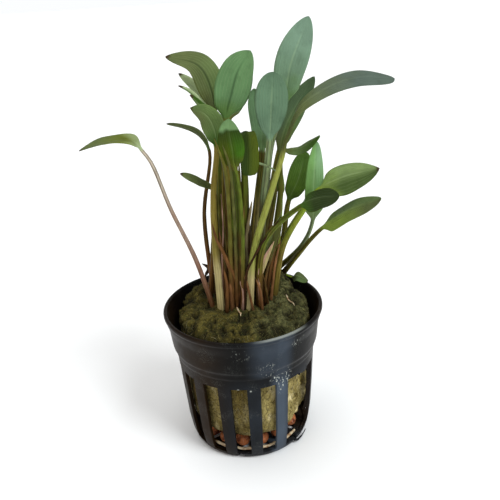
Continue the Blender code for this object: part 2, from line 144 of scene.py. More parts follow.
class Wire:
    """A value inside a material. Arithmetic on wires and numbers adds its own Math nodes."""

    def __init__(self, finish, socket):
        self.finish = finish
        self.socket = socket

    def __add__(self, other):
        return self.finish.math("ADD", self, other)

    def __rsub__(self, other):
        return self.finish.math("SUBTRACT", other, self)

    def __mul__(self, other):
        return self.finish.math("MULTIPLY", self, other)

    def __pow__(self, other):
        return self.finish.math("POWER", self, other)

    __radd__ = __add__
    __rmul__ = __mul__


class Finish:
    """A material of one principled shader, and the nodes that feed it."""

    def __init__(self, name, **constants):
        self.material = bpy.data.materials.new(name)
        self.material.use_nodes = True
        self.tree = self.material.node_tree
        self.shader = self.tree.nodes["Principled BSDF"]
        self.feed(self.shader, {socket.replace("_", " "): value for socket, value in constants.items()})
        self.place = self.node("ShaderNodeTexCoord", output="Object")

    def feed(self, node, sockets):
        """Gives each of these sockets of the node its value or its wire."""
        for socket, value in sockets.items():
            if isinstance(value, Wire):
                self.tree.links.new(value.socket, node.inputs[socket])
            else:
                node.inputs[socket].default_value = value

    def node(self, kind, settings=None, sockets=None, output=0):
        """Adds a node of this type: first its settings, then the values or wires of its sockets."""
        made = self.tree.nodes.new(kind)
        for setting, value in (settings or {}).items():
            setattr(made, setting, value)
        self.feed(made, sockets or {})
        return Wire(self, made.outputs[output])

    def math(self, operation, first, second=0.0):
        """A Math node of this operation on two numbers or wires."""
        return self.node("ShaderNodeMath", {"operation": operation}, {0: first, 1: second})

    def stored(self, name, output="Color"):
        """What a piece stores under this name at each of its points."""
        return self.node("ShaderNodeAttribute", {"attribute_name": name}, output=output)

    def axes(self, vector):
        """The three parts of a vector."""
        return [self.node("ShaderNodeSeparateXYZ", None, {0: vector}, side) for side in "XYZ"]

    def noise(self, size, detail=3.0, stretch=(1, 1, 1), roughness=0.5):
        """Noise from 0 to 1, in lumps of this size in millimetres, squeezed along the axes by stretch."""
        place = self.node("ShaderNodeMapping", None, {"Vector": self.place, "Scale": stretch})
        sockets = {"Vector": place, "Scale": 1 / (size * MM), "Detail": detail, "Roughness": roughness}
        return self.node("ShaderNodeTexNoise", None, sockets)

    def cells(self, size):
        """How far away the middle of the nearest random cell is, for cells of this size in millimetres."""
        sockets = {"Vector": self.place, "Scale": 1 / (size * MM)}
        return self.node("ShaderNodeTexVoronoi", None, sockets, "Distance")

    def rise(self, value, low, high):
        """0 at low and 1 at high, with a smooth step between them. Low may be the larger of the two."""
        sockets = {"Value": value, "From Min": low, "From Max": high}
        return self.node("ShaderNodeMapRange", {"interpolation_type": "SMOOTHSTEP"}, sockets)

    def near(self, place, reach):
        """1 at a place in millimetres, falling to 0 at this distance from it."""
        spot = tuple(side * MM for side in place)
        away = self.node("ShaderNodeVectorMath", {"operation": "DISTANCE"}, {0: self.place, 1: spot}, "Value")
        return self.rise(away, reach * MM, 0.0)

    def mix(self, first, second, factor):
        """The first colour turned towards the second by the factor. Each is a wire, or a screen's levels."""
        first, second = (rgb(side) if isinstance(side, tuple) else side for side in (first, second))
        return self.node("ShaderNodeMix", {"data_type": "RGBA"}, {"Factor": factor, 6: first, 7: second}, 2)

    def bump(self, height, depth):
        """A normal from a height between 0 and 1, which stands for this many millimetres."""
        return self.node("ShaderNodeBump", None, {"Strength": 1.0, "Distance": depth * MM, "Height": height})


def rounded(corners, reach=0.5, steps=5):
    """The outline with each inner corner made a curve that starts and ends this far from it.

    Point t of a curve is (1 - t)^2 of its start, 2 t (1 - t) of the corner and t^2 of its end.
    """
    corners = np.array(corners, dtype=float)
    here = corners[1:-1]
    ends = []
    for other in (corners[:-2], corners[2:]):
        away = other - here
        length = np.linalg.norm(away, axis=1, keepdims=True)
        ends.append(here + away * np.minimum(reach / length, 0.48))
    t = np.linspace(0, 1, steps)[None, :, None]
    curves = (1 - t) ** 2 * ends[0][:, None] + 2 * t * (1 - t) * here[:, None] + t**2 * ends[1][:, None]
    return np.vstack([corners[:1], curves.reshape(-1, 2), corners[-1:]])


def travelled(path):
    """How far along a path each of its points lies."""
    return np.concatenate([[0.0], np.cumsum(np.linalg.norm(np.diff(path, axis=0), axis=1))])


def places_along(path, shares):
    """The places on a path at these shares of its length."""
    way = travelled(path)
    return np.stack([np.interp(shares * way[-1], way, side) for side in path.T], axis=1)


def pot_rows():
    """Matching (radius, height) rows of the pot's outside and inside, from the lip down to the floor.

    On the wall both sides take the same heights, and on the floor the same radii, so that a slot's sides can
    be drawn straight from the outside to the inside.
    """
    collar = np.linspace(LIP_CENTRE[1], SLOT_TOP, COLLAR_ROWS)
    slotted = np.linspace(SLOT_TOP - STUB, SLOT_FOOT + STUB, SLOT_ROWS)
    heights = np.concatenate([collar, slotted, [SLOT_FOOT]])
    slotted_floor = np.linspace(*FLOOR_SLOT_REACH[::-1], FLOOR_SLOT_ROWS)
    floor = np.concatenate([[FLOOR_OUTER_RING], slotted_floor, FLOOR_INNER_RINGS])
    sides = []
    for wall, foot, level in ((OUTER_WALL, OUTER_FOOT, 0.0), (INNER_WALL, INNER_FOOT, FLOOR)):
        outline = rounded(wall)[::-1]
        upper = np.stack([np.interp(heights, outline[:, 1], outline[:, 0]), heights], axis=1)
        corner = places_along(rounded(foot, 0.4), np.linspace(0, 1, FOOT_ROWS + 1)[1:])
        flat = np.stack([floor, np.full(len(floor), level)], axis=1)
        sides.append(np.vstack([upper, corner, flat]))
    return sides


def pot_turns(radii):
    """The turn of each column at each row. A slot's columns keep their angle down the wall, and draw in or
    out over the floor so that the slots there have one width."""
    slot = np.linspace(-SLOT_ANGLE / 2, SLOT_ANGLE / 2, CELLS_IN_SLOT + 1)[:-1]
    rib = np.linspace(SLOT_ANGLE / 2, PITCH - SLOT_ANGLE / 2, CELLS_IN_RIB + 1)[:-1]
    narrow = np.degrees(np.arcsin(FLOOR_SLOT_WIDTH / 2 / np.clip(radii, *FLOOR_SLOT_REACH)))
    edge = np.where(radii > FLOOR_SLOT_REACH[1] + 0.5, SLOT_ANGLE / 2, narrow)[:, None]
    in_slot = slot * edge / (SLOT_ANGLE / 2)
    in_rib = PITCH / 2 + (rib - PITCH / 2) * (PITCH / 2 - edge) / (PITCH / 2 - SLOT_ANGLE / 2)
    one_pitch = np.hstack([in_slot, in_rib])
    middles = FIRST_RIB + (np.arange(SLOTS) + 0.5) * PITCH
    return (middles[None, :, None] + one_pitch[:, None]).reshape(len(radii), -1)


def around_pot(turn, radius, height):
    """Places on circles: x is radius times the turn's sine, and y is minus radius times its cosine."""
    bearing = np.radians(turn)
    return np.stack([radius * np.sin(bearing), -radius * np.cos(bearing), height + 0 * bearing], axis=-1)


def pot_cells_cut(heights, radii, turns):
    """Which cells of the pot are open: the slots, the broken rib, the floor's slots and the split."""
    upper, lower = heights[:-1, None], heights[1:, None]
    slot_number, cell_in_pitch = np.divmod(np.arange(turns.shape[1]), CELLS_IN_SLOT + CELLS_IN_RIB)
    in_slot = cell_in_pitch < CELLS_IN_SLOT
    wall = (upper <= SLOT_TOP + HAIR) & (lower >= SLOT_FOOT - HAIR)
    past_stubs = (upper <= SLOT_TOP - STUB + HAIR) & (lower >= SLOT_FOOT + STUB - HAIR)
    broken = (slot_number == BROKEN_SLOT) & ~in_slot
    floor = (radii[:-1, None] <= FLOOR_SLOT_REACH[1] + HAIR) & (radii[1:, None] >= FLOOR_SLOT_REACH[0] - HAIR)
    at_foot = (upper <= SLOT_FOOT + STUB + HAIR) & (radii[1:, None] > FLOOR_EDGE - 1)
    split = at_foot & (slot_number == BROKEN_SLOT) & (cell_in_pitch == CELLS_IN_SLOT)
    return (wall & in_slot) | (past_stubs & broken) | (floor & in_slot) | split


def cells_of(grid):
    """The four corners of each cell of a grid of point numbers whose last column meets its first: a point,
    the one beside it, and the two in the next row, in turn."""
    beside = np.roll(grid, -1, axis=-1)
    return np.stack([grid[..., :-1, :], beside[..., :-1, :], beside[..., 1:, :], grid[..., 1:, :]], axis=-1)


def pot_faces(outer, inner, cut):
    """The outside and inside cells that aren't cut, and a wall between them at every edge of a cut."""
    kept = ~cut
    outside, inside = cells_of(outer), cells_of(inner)
    faces = [outside[kept][:, [0, 3, 2, 1]], inside[kept][:, [1, 2, 3, 0]]]
    beyond = np.zeros_like(cut[:1])
    for first, second, opening in (
        (1, 2, np.roll(cut, -1, axis=1)),
        (3, 0, np.roll(cut, 1, axis=1)),
        (2, 3, np.vstack([cut[1:], beyond])),
        (0, 1, np.vstack([beyond, cut[:-1]])),
    ):
        edge = kept & opening
        wall = (outside[edge, first], outside[edge, second], inside[edge, second], inside[edge, first])
        faces.append(np.stack(wall, axis=-1))
    return faces


outer_rows, inner_rows = pot_rows()
row_radii = np.where(outer_rows[:, 1] > 0, LIP_CENTRE[0], outer_rows[:, 0])
turns = pot_turns(row_radii)
outside, inside = (around_pot(turns, side[:, :1], side[:, 1:]) for side in (outer_rows, inner_rows))
from_stubs = np.abs(outer_rows[:, 1:] - (SLOT_TOP - STUB, SLOT_FOOT + STUB))
in_broken_rib = np.abs(turns[0] - FIRST_RIB - (BROKEN_SLOT + 1) * PITCH) < (PITCH - SLOT_ANGLE) / 2 + 0.1
ragged = np.random.default_rng(3).uniform(-BREAK_ROUGHNESS, BREAK_ROUGHNESS, turns.shape[1]) * in_broken_rib
for side in (outside, inside):
    side[from_stubs.min(axis=1) < HAIR, :, 2] += ragged
nicked = np.clip(1 - np.abs((turns[0] - NICK_TURN + 180) % 360 - 180) / NICK_SPREAD, 0, 1)
foot_rows = (outer_rows[:, 1] < SLOT_FOOT - HAIR) & (outer_rows[:, 0] >= FLOOR_EDGE)
outside[foot_rows] += (inside - outside)[foot_rows] * NICK_DEPTH * nicked[None, :, None]
rows, columns = turns.shape
outer = np.arange(rows * columns).reshape(rows, columns)
inner = outer + rows * columns
faces = pot_faces(outer, inner, pot_cells_cut(outer_rows[:, 1], row_radii, turns))
lip_angle = np.linspace(0, np.pi, LIP_ROWS + 2)[1:-1]
lip_rows = np.stack([np.cos(lip_angle), np.sin(lip_angle)], axis=1) * LIP_RADIUS + LIP_CENTRE
lip = around_pot(np.repeat(turns[:1], len(lip_rows), axis=0), lip_rows[:, :1], lip_rows[:, 1:])
lip_numbers = np.arange(len(lip_rows) * columns).reshape(-1, columns) + 2 * rows * columns
faces.append(cells_of(np.vstack([outer[:1], lip_numbers, inner[:1]])).reshape(-1, 4))
poles = np.array([[0, 0, 0], [0, 0, FLOOR]])
pot_points = np.vstack([outside.reshape(-1, 3), inside.reshape(-1, 3), lip.reshape(-1, 3), poles])
last = len(pot_points) - 1
faces.append(np.stack([outer[-1], np.full(columns, last - 1), np.roll(outer[-1], -1)], axis=-1))
faces.append(np.stack([np.roll(inner[-1], -1), np.full(columns, last), inner[-1]], axis=-1))

plastic = Finish("black plastic", Specular_IOR_Level=0.07)
x, y, z = plastic.axes(plastic.place)
turn = plastic.math("ARCTAN2", x, y * -1) * (180 / np.pi)
height = z * (1 / MM)
film = plastic.rise(plastic.noise(11, 4), 0.42, 0.7)
fine = plastic.noise(0.8, 3)
# Lime marks: scuffs all over, and grains and shreds where water splashed.
scuffed = plastic.rise(plastic.noise(0.5, 2, (1, 1, 5)), 0.56, 0.7)
scuffed = scuffed * plastic.rise(plastic.noise(6), 0.5, 0.65)
grains = plastic.rise(plastic.cells(0.75), 0.36, 0.16) * plastic.rise(plastic.noise(0.9, 2), 0.47, 0.55)
shreds = plastic.rise(plastic.noise(0.45, 2, (1, 1, 0.3)), 0.6, 0.68) * 0.7
grains = plastic.math("MAXIMUM", grains, shreds) * plastic.rise(plastic.noise(2.4, 2), 0.44, 0.58)
splashed = sum(plastic.near(place, reach) * amount for place, reach, amount in SPLASHES)
marks = plastic.math("MINIMUM", grains * splashed * 1.5 + scuffed * 0.12, 0.85)
for place, reach in SPECKS:
    marks = plastic.math("MAXIMUM", marks, plastic.near(place, reach) * 0.9)
# Painted light, with some dust: a grey-blue painted sheen for the light's reflection at the front right and
# over the slots, a painted warm reflection with some dust at both sides, dust at the foot, and a painted
# highlight along the lip.
# A painted grey-blue sheen that stands for the light's reflection, strongest at the front right.
above_slots = plastic.rise(turn, -4, 14) * plastic.rise(height, 33, 37) * 0.85
painted_sheen = plastic.math("MAXIMUM", plastic.rise(turn, 14, 24), above_slots) * plastic.rise(turn, 39, 28)
painted_sheen = painted_sheen * (0.46 + plastic.rise(height, 34, 28) * 0.44 + film * 0.25)
low_painted_sheen = plastic.rise(height, 36, 29) * plastic.rise(turn, -34, -8) * (0.1 + film * 0.1)
# A painted warm brown reflection with some dust at both sides, and brown dust at the foot.
warm_reflection_and_dust = plastic.rise(turn, -8, -36) * 0.95 + plastic.rise(turn, 48, 75) * 0.8
warm_reflection_and_dust = warm_reflection_and_dust * plastic.rise(plastic.math("ABSOLUTE", turn), 140, 80) + plastic.rise(height, 12, 0) * 0.2
# A painted highlight along the lip at the front right, in the pale lime colour.
painted_lip_highlight = plastic.rise(height, 49.3, 50) * plastic.rise(turn, 2, 18) * plastic.rise(turn, 50, 36)
colour = plastic.mix(PLASTIC, PAINTED_SHEEN, plastic.math("MAXIMUM", painted_sheen, low_painted_sheen))
colour = plastic.mix(colour, WARM_REFLECTION_AND_DUST, warm_reflection_and_dust * (0.6 + film * 0.4))
colour = plastic.mix(colour, LIME_AND_LIP_HIGHLIGHT, painted_lip_highlight * 0.35)
plastic.feed(plastic.shader, {
    "Base Color": plastic.mix(colour, LIME_AND_LIP_HIGHLIGHT, marks),
    "Roughness": 0.3 + film * 0.14 + fine * 0.12 + marks * 0.4,
    "Normal": plastic.bump(plastic.noise(2.5, 3) * 0.6 + fine * 0.12 + marks * 0.4, 0.12),
})
pot = new_piece("slotted_pot", pot_points, faces, plastic, "black_plastic", "net_pot")
edges = pot.modifiers.new("softened edges", "BEVEL")
edges.width = EDGE_SOFTNESS * MM
edges.segments = 2
edges.limit_method = "ANGLE"
edges.angle_limit = radians(55)
edges.use_clamp_overlap = False
edges.harden_normals = True

# The clay pellets
# Fifteen fired clay balls that were tipped into the pot to lift the plug. Each is a crusty orange-brown ball,
# a little squashed, with pits that the firing left.
PELLETS = 15
PELLET_RADIUS = 2.6
PELLET_SPIN = 50
PELLET_RINGS = 24
PELLET_SIDES = 44
CRUST = 0.05
PITS = 0.06
CLAY = (178, 106, 64)
CLAY_DARK = (92, 44, 26)
CLAY_DUST = (214, 158, 128)


def chance(cells, seed):
    """A number from 0 to 1 for each whole-number cell, which looks random and is the same at every run."""
    mixed = (cells * (73856093, 19349663, 83492791)).sum(axis=-1) + seed * 15485863
    for factor in (668265263, 374761393):
        mixed = (mixed ^ (mixed >> 15)) * factor & 0xFFFFFFFF
    return (mixed ^ (mixed >> 15)) / 0xFFFFFFFF


def cloud(places, size, seed=0, octaves=1):
    """Smooth noise, from -1 to 1 in its first octave. Random values at the corners of cubes of this size
    are blended along S-curves, and each further octave adds half as much at half the size."""
    total = 0.0
    for octave in range(octaves):
        spots = places * 2**octave / size
        cell = np.floor(spots).astype(np.int64)
        t = spots - cell
        t = t * t * (3 - 2 * t)
        for corner in np.ndindex(2, 2, 2):
            weight = np.prod(np.where(corner, t, 1 - t), axis=-1)
            total += weight * (2 * chance(cell + corner, seed + octave) - 1) / 2**octave
    return total


def lofted(rings):
    """A closed skin with two poles over rings that run counter-clockwise about the way through them."""
    count, sides = rings.shape[:2]
    points = np.vstack([rings.reshape(-1, 3), rings[:1].mean(axis=1), rings[-1:].mean(axis=1)])
    corner = np.arange(count * sides).reshape(count, sides)
    beside = np.roll(corner, -1, axis=1)
    first = np.stack([beside[0], corner[0], np.full(sides, count * sides)], axis=-1)
    last = np.stack([corner[-1], beside[-1], np.full(sides, count * sides + 1)], axis=-1)
    return points, [cells_of(corner).reshape(-1, 4), first, last]


clay = Finish("baked clay", Specular_IOR_Level=0.15)
crust = clay.noise(0.7, 4)
sooty = clay.rise(clay.noise(2.6, 2), 0.42, 0.66)
colour = clay.mix(CLAY, CLAY_DARK, sooty)
clay.feed(clay.shader, {
    "Base Color": clay.mix(colour, CLAY_DUST, clay.rise(crust, 0.52, 0.75) * 0.6),
    "Roughness": 0.8 + crust * 0.15,
    "Normal": clay.bump(crust, 0.25),
})
up = np.linspace(-np.pi / 2, np.pi / 2, PELLET_RINGS + 2)[1:-1, None]
around = np.linspace(0, 2 * np.pi, PELLET_SIDES, endpoint=False)[None]
ball = np.stack([np.cos(up) * np.cos(around), np.cos(up) * np.sin(around), np.sin(up) + 0 * around], axis=-1)
for number in range(PELLETS):
    node = f"clay_pellet_{number + 1}"
    low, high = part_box(node)
    middle = np.array((low + high) / 2) / MM
    squash = (high.z - low.z) / MM / 2 / PELLET_RADIUS
    spin = radians(PELLET_SPIN * number)
    turned = np.array([[np.cos(spin), np.sin(spin), 0], [-np.sin(spin), np.cos(spin), 0], [0, 0, 1]])
    places = ball + 9 * number
    rind = 1 + CRUST * cloud(places, 0.8, 5, 3) - PITS * np.maximum(0, cloud(places, 0.3, 6) - 0.35)
    rings = (ball * rind[..., None] * PELLET_RADIUS * (1.0, squash, squash)) @ turned + middle
    points, faces = lofted(rings)
    new_piece(f"fired_clay_ball_{number + 1}", points, faces, clay, "baked_clay", node)

# The roots, and a splinter of the foot ring
# Four of the plant's pale roots have come out under the plug and lie on the pot's floor behind the slots.
# Each is a soft thread that swells and thins along its way. Where the foot ring split, a splinter of its
# plastic stands off it.
ROOTS = {
    "root_left": (-44, -25),
    "root_front": (-20, 2),
    "root_front_right": (8, 27),
    "root_right": (32, 56),
}
ROOT_RADIUS = 0.5
ROOT_RING = 18.8
ROOT_HEIGHT = 2.6
ROOT_SWAY = (0.15, 0.25)
ROOT_RINGS = 40
ROOT_THINNEST = 0.05
ROOT_SKIN = (212, 194, 160)
ROOT_STAIN = (150, 112, 74)
SPLINTER = [(45, 21.2, 1.6), (49, 21.5, 0.9), (54, 21.7, 1.1), (58, 21.9, 1.7), (61, 22.2, 2.6)]
SPLINTER_RADIUS = (0.48, 0.12)
SPLINTER_RINGS = 30
ASIDE = (0.11, 0.23, 0.97)


def unit(vectors):
    """The vectors, each divided by its length."""
    return vectors / np.maximum(np.linalg.norm(vectors, axis=-1, keepdims=True), 1e-9)


def threaded(path, radius, sides=10, aside=ASIDE):
    """Rings of this radius round a path, or round many. A ring is square to its path, and its first spoke is
    square to the direction given as well; point a is cos(a) of that spoke and sin(a) of the third."""
    forward = unit(np.gradient(path, axis=-2))
    sideways = unit(np.cross(forward, aside))
    upward = np.cross(forward, sideways)
    angle = np.linspace(0, 2 * np.pi, sides, endpoint=False)[:, None]
    spoke = sideways[..., None, :] * np.cos(angle) + upward[..., None, :] * np.sin(angle)
    return path[..., None, :] + spoke * radius[..., None, None]


share = np.linspace(0, 1, SPLINTER_RINGS)
path = around_pot(*places_along(np.array(SPLINTER, dtype=float), share).T)
thick = np.linspace(*SPLINTER_RADIUS, SPLINTER_RINGS) * (1 + 0.25 * cloud(path, 0.9, 19))
points, faces = lofted(threaded(path, thick))
new_piece("foot_splinter", points, faces, plastic, "black_plastic")
root_skin = Finish("pale root", Specular_IOR_Level=0.4)
stained = root_skin.rise(root_skin.noise(1.6, 3), 0.4, 0.7)
root_skin.feed(root_skin.shader, {
    "Base Color": root_skin.mix(ROOT_SKIN, ROOT_STAIN, stained),
    "Roughness": 0.45 + stained * 0.2,
    "Normal": root_skin.bump(root_skin.noise(0.3, 2), 0.06),
})
for number, (node, (start, end)) in enumerate(ROOTS.items()):
    share = np.linspace(0, 1, ROOT_RINGS)
    wave = np.sin(2.2 * np.pi * share + number)
    ring, height = ROOT_RING + ROOT_SWAY[0] * wave, ROOT_HEIGHT + ROOT_SWAY[1] * wave
    path = around_pot(start + (end - start) * share, ring, height)
    radius = ROOT_RADIUS * (1 + 0.14 * cloud(path, 1.1, 20 + number)) * (1 - (2 * share - 1) ** 8) ** 0.5
    points, faces = lofted(threaded(path, np.maximum(radius, ROOT_THINNEST)))
    new_piece("pale_" + node, points, faces, root_skin, "root", node)

# The mineral wool plug
# A block of mineral felt that the plant was rooted in, overgrown with algae and moss. It stands on the
# pellets and fills the pot to the rim: a hummocky top, and a side that shows in the slots and has crumbled at
# the broken rib.
PLUG_FOOT = 7.1
PLUG_TOP = 50.5
PLUG_RADIUS = (20.4, 22.7)
PLUG_OUTLINE = [
    (0, 1), (0.28, 1), (0.52, 1), (0.74, 1), (0.91, 0.99), (1, 0.94),
    (1, 0.72), (1, 0.48), (1, 0.24), (0.97, 0.06), (0.85, 0), (0, 0),
]
PLUG_LUMPS = 0.18
TOP_OVAL = 0.9
TOP_OVAL_TURN = 42.0
DOME_FALL = 0.005
HUMMOCKS = ((14.5, 14.0, 7.5, 9.0), (-13.0, 14.0, 3.0, 8.0))
BITE_DEPTH = 3.0
BITE_TURN = (68.0, 9.0)
BITE_HEIGHT = (0.32, 0.3)
PLUG_ROWS = 200
PLUG_COLUMNS = 340
DARK_MOSS_AND_SHADE = (28, 26, 8)
MOSS_OLIVE = (76, 68, 22)
MOSS_GOLD = (90, 81, 33)
MOSS_GREY = (98, 98, 60)
FELT = (172, 156, 96)
FELT_STAIN = (96, 80, 26)
FELT_BROWN = (70, 54, 4)
FELT_PALE = (222, 206, 154)
PLUG_SCALE = (22, 43)
FELT_SHADE = (34, 30, 10)
FELT_LIGHT = (188, 174, 98)


def plug_height(x, y):
    """The height of the plug's top over a place in its plan: a shallow dome, and a bell for each hummock."""
    height = PLUG_TOP - DOME_FALL * (x * x + y * y)
    for middle_x, middle_y, rise, spread in HUMMOCKS:
        height = height + rise * np.exp(-((x - middle_x) ** 2 + (y - middle_y) ** 2) / spread**2)
    return height


def plug_surface(out, share, bearing):
    """Places on the plug, where out is the share of its radius and share that of its height.

    The radius grows with height, is oval at the top and wavy all round, and dips where the side has crumbled.
    The dome and its hummocks come in over the upper two fifths.
    """
    radius = PLUG_RADIUS[0] + (PLUG_RADIUS[1] - PLUG_RADIUS[0]) * share
    radius = radius + TOP_OVAL * share**2 * np.cos(2 * (bearing - radians(TOP_OVAL_TURN)))
    radius = radius + PLUG_LUMPS * (np.sin(5 * bearing + 7 * share) + np.sin(9 * bearing - 11 * share + 2))
    beside_bite = (np.degrees(bearing) - BITE_TURN[0]) / BITE_TURN[1]
    above_bite = (share - BITE_HEIGHT[0]) / BITE_HEIGHT[1]
    radius = radius - BITE_DEPTH * np.exp(-(beside_bite**2) - above_bite**2)
    x, y = out * radius * np.sin(bearing), -out * radius * np.cos(bearing)
    height = PLUG_FOOT + (PLUG_TOP - PLUG_FOOT) * share
    height = height + (plug_height(x, y) - PLUG_TOP) * np.maximum(0.0, 2.5 * share - 1.5)
    return np.stack([x, y, height], axis=-1)


def outward_of(grid):
    """The unit normal at each point of a grid that closes on itself sideways."""
    along = np.gradient(grid, axis=0)
    around = np.roll(grid, -1, axis=1) - np.roll(grid, 1, axis=1)
    return unit(np.cross(around, along))


def felted(grid):
    """How far the felt stands out or in at each point: pillows with creases between them, pits, upright folds
    low on the front of the top, matted fibre on the side, and rags where the side has crumbled."""
    x, y, z = np.moveaxis(grid, -1, 0)
    on_top = np.clip((z - 43) / 5, 0, 1)
    front = np.clip((-y - 8) / 8, 0, 1) * on_top
    pillows = 0.75 - 1.5 * np.abs(cloud(grid, 6.0, 31, 2))
    creases = -0.9 * np.clip(0.16 - np.abs(cloud(grid, 4.6, 33, 2)), 0, 1) / 0.16
    folds = 0.75 * cloud(grid * (1.0, 0.6, 0.35), 2.4, 35, 2)
    pits = -2.1 * np.clip(cloud(grid, 1.9, 37) - 0.42, 0, 1) / 0.58
    tufts = 0.24 * cloud(grid, 0.9, 39, 3)
    top = pillows + creases + folds * (0.5 + front) + pits + tufts
    mat = 0.22 * cloud(grid * (1, 1, 0.6), 2.4, 41, 3) + 0.14 * cloud(grid, 0.7, 43, 2)
    turn = np.degrees(np.arctan2(x, -y))
    torn = np.exp(-(((turn - 58) / 14) ** 2)) * (1 - on_top)
    ragged = torn * (0.9 * cloud(grid, 2.2, 45, 3) - 0.2)
    return on_top * np.clip(top, -2.4, 1.1) + (1 - on_top) * mat + ragged


outline = rounded(np.array(PLUG_OUTLINE[::-1], dtype=float) * PLUG_SCALE, 2.0, 7)
plug_profile = places_along(outline, np.linspace(0, 1, PLUG_ROWS))[1:-1] / PLUG_SCALE
bearing = np.linspace(-np.pi, np.pi, PLUG_COLUMNS, endpoint=False)
plug_grid = plug_surface(plug_profile[:, :1], plug_profile[:, 1:], bearing[None])
plug_normal = outward_of(plug_grid)
stands = felted(plug_grid)
plug_grid = plug_grid + plug_normal * stands[..., None]


def tone(levels):
    """A colour given as a screen's 0 to 255 levels, as linear red, green and blue to store at points."""
    return np.array(rgb(levels)[:3])


def blended(first, second, share):
    """The first colour turned towards the second, each three numbers to a point, by a share from 0 to 1."""
    share = np.clip(share, 0, 1)[..., None]
    return np.asarray(first) * (1 - share) + np.asarray(second) * share


def felt_colour(grid, stands):
    """Colours of the felt: gold and olive at the left, greyer at the right, and painted shade, near black, in
    pits and creases. The side is brown at the left and straw-coloured with brown stains to the right, and
    darker towards the top."""
    x, _, z = np.moveaxis(grid, -1, 0)
    top = blended(tone(MOSS_OLIVE), tone(MOSS_GOLD), 0.5 + 0.8 * cloud(grid, 3.5, 51, 2) - x / 40)
    top = blended(top, tone(MOSS_GREY), (x - 1) / 9 + 0.5 * cloud(grid, 3, 53, 2) + 0.1)
    # Painted shade: the top darkens to near black where the felt stands in, in pits and creases.
    top = blended(tone(DARK_MOSS_AND_SHADE), top, 0.5 + 0.75 * stands + 0.25 * cloud(grid, 1.8, 55, 2))
    side = blended(tone(FELT), tone(FELT_STAIN), 0.8 * cloud(grid * (1, 1, 0.5), 3.2, 57, 3))
    side = blended(side, tone(FELT_PALE), 1.4 * cloud(grid * (1, 1, 0.4), 1.6, 59, 2) - 0.2)
    browned = 0.72 * np.clip((10 - x) / 12, 0, 1) + 0.35 * cloud(grid * (1, 1, 0.5), 4.5, 61, 2)
    side = blended(side, tone(FELT_BROWN), browned)
    side = blended(side, tone(DARK_MOSS_AND_SHADE), (z - 30) / 14)
    return blended(side, top, (z - 44.5) / 3)


def with_poles(values):
    """The values at a lofted skin's points: those of its rings, then those of a point beside each pole."""
    return np.vstack([values.reshape(-1, 3), values[0, 0], values[-1, 0]])


def paint(piece, name, colours):
    """Stores one linear colour for each point of the piece."""
    layer = piece.data.attributes.new(name, "FLOAT_COLOR", "POINT")
    with_alpha = np.column_stack([colours, np.ones(len(colours))])
    layer.data.foreach_set("color", with_alpha.astype(np.float32).ravel())


felt = Finish("mossy mineral wool", Specular_IOR_Level=0.2)
painted = felt.stored("felt_colour")
fibre = felt.noise(0.45, 4, (1, 1, 0.5), 0.65)
grain = felt.noise(0.9, 3)
colour = felt.mix(painted, felt.mix(painted, FELT_SHADE, 0.75), felt.rise(fibre, 0.5, 0.34))
felt.feed(felt.shader, {
    "Base Color": felt.mix(colour, FELT_LIGHT, felt.rise(fibre, 0.56, 0.72) * 0.4),
    "Roughness": 0.85 + fibre * 0.12,
    "Normal": felt.bump(fibre * 0.7 + grain * 0.5, 0.5),
})
points, faces = lofted(plug_grid)
plug = new_piece("rockwool_block", points, faces, felt, "rockwool", "rockwool_plug")
plug_colours = felt_colour(plug_grid, stands)
paint(plug, "felt_colour", with_poles(plug_colours))

# The loose fibres
# Mineral fibres and moss threads that stand off the plug: long pale ones down its side, short crooked ones of
# moss all over the top. Each is a thin three-sided thread that starts and ends in the felt.
THREAD_RINGS = 6
THREAD_ROOTED = 0.05
STRAND_SHADE = (40, 36, 16)
MOSS_STARTS = 45.5
FIBRES_START = 7.6
MOSS_TINTS = ((110, 94, 34), (72, 76, 26), (124, 120, 72), (44, 40, 14), (64, 84, 28))
MOSS_THREADS = dict(count=3400, length=2.2, radius=0.09, stand=0.42, heading=0, scatter=180)
FIBRE_TINTS = ((184, 168, 104), (132, 114, 50), (214, 202, 150), (84, 66, 22))
FIBRES = dict(count=4200, length=3.4, radius=0.07, stand=0.32, heading=70, scatter=45)


def felt_place(row, column):
    """Places, normals and colours between the points of the plug's grid, blended from the four around."""
    row = np.clip(row, 0, plug_grid.shape[0] - 1.001)
    low_row, low_column = np.floor(row).astype(int), np.floor(column).astype(int)
    part_row, part_column = (row - low_row)[..., None], (column - low_column)[..., None]
    found = []
    for grid in (plug_grid, plug_normal, plug_colours):
        near, far = low_column % PLUG_COLUMNS, (low_column + 1) % PLUG_COLUMNS
        lower = grid[low_row, near] * (1 - part_column) + grid[low_row, far] * part_column
        upper = grid[low_row + 1, near] * (1 - part_column) + grid[low_row + 1, far] * part_column
        found.append(lower * (1 - part_row) + upper * part_row)
    return found


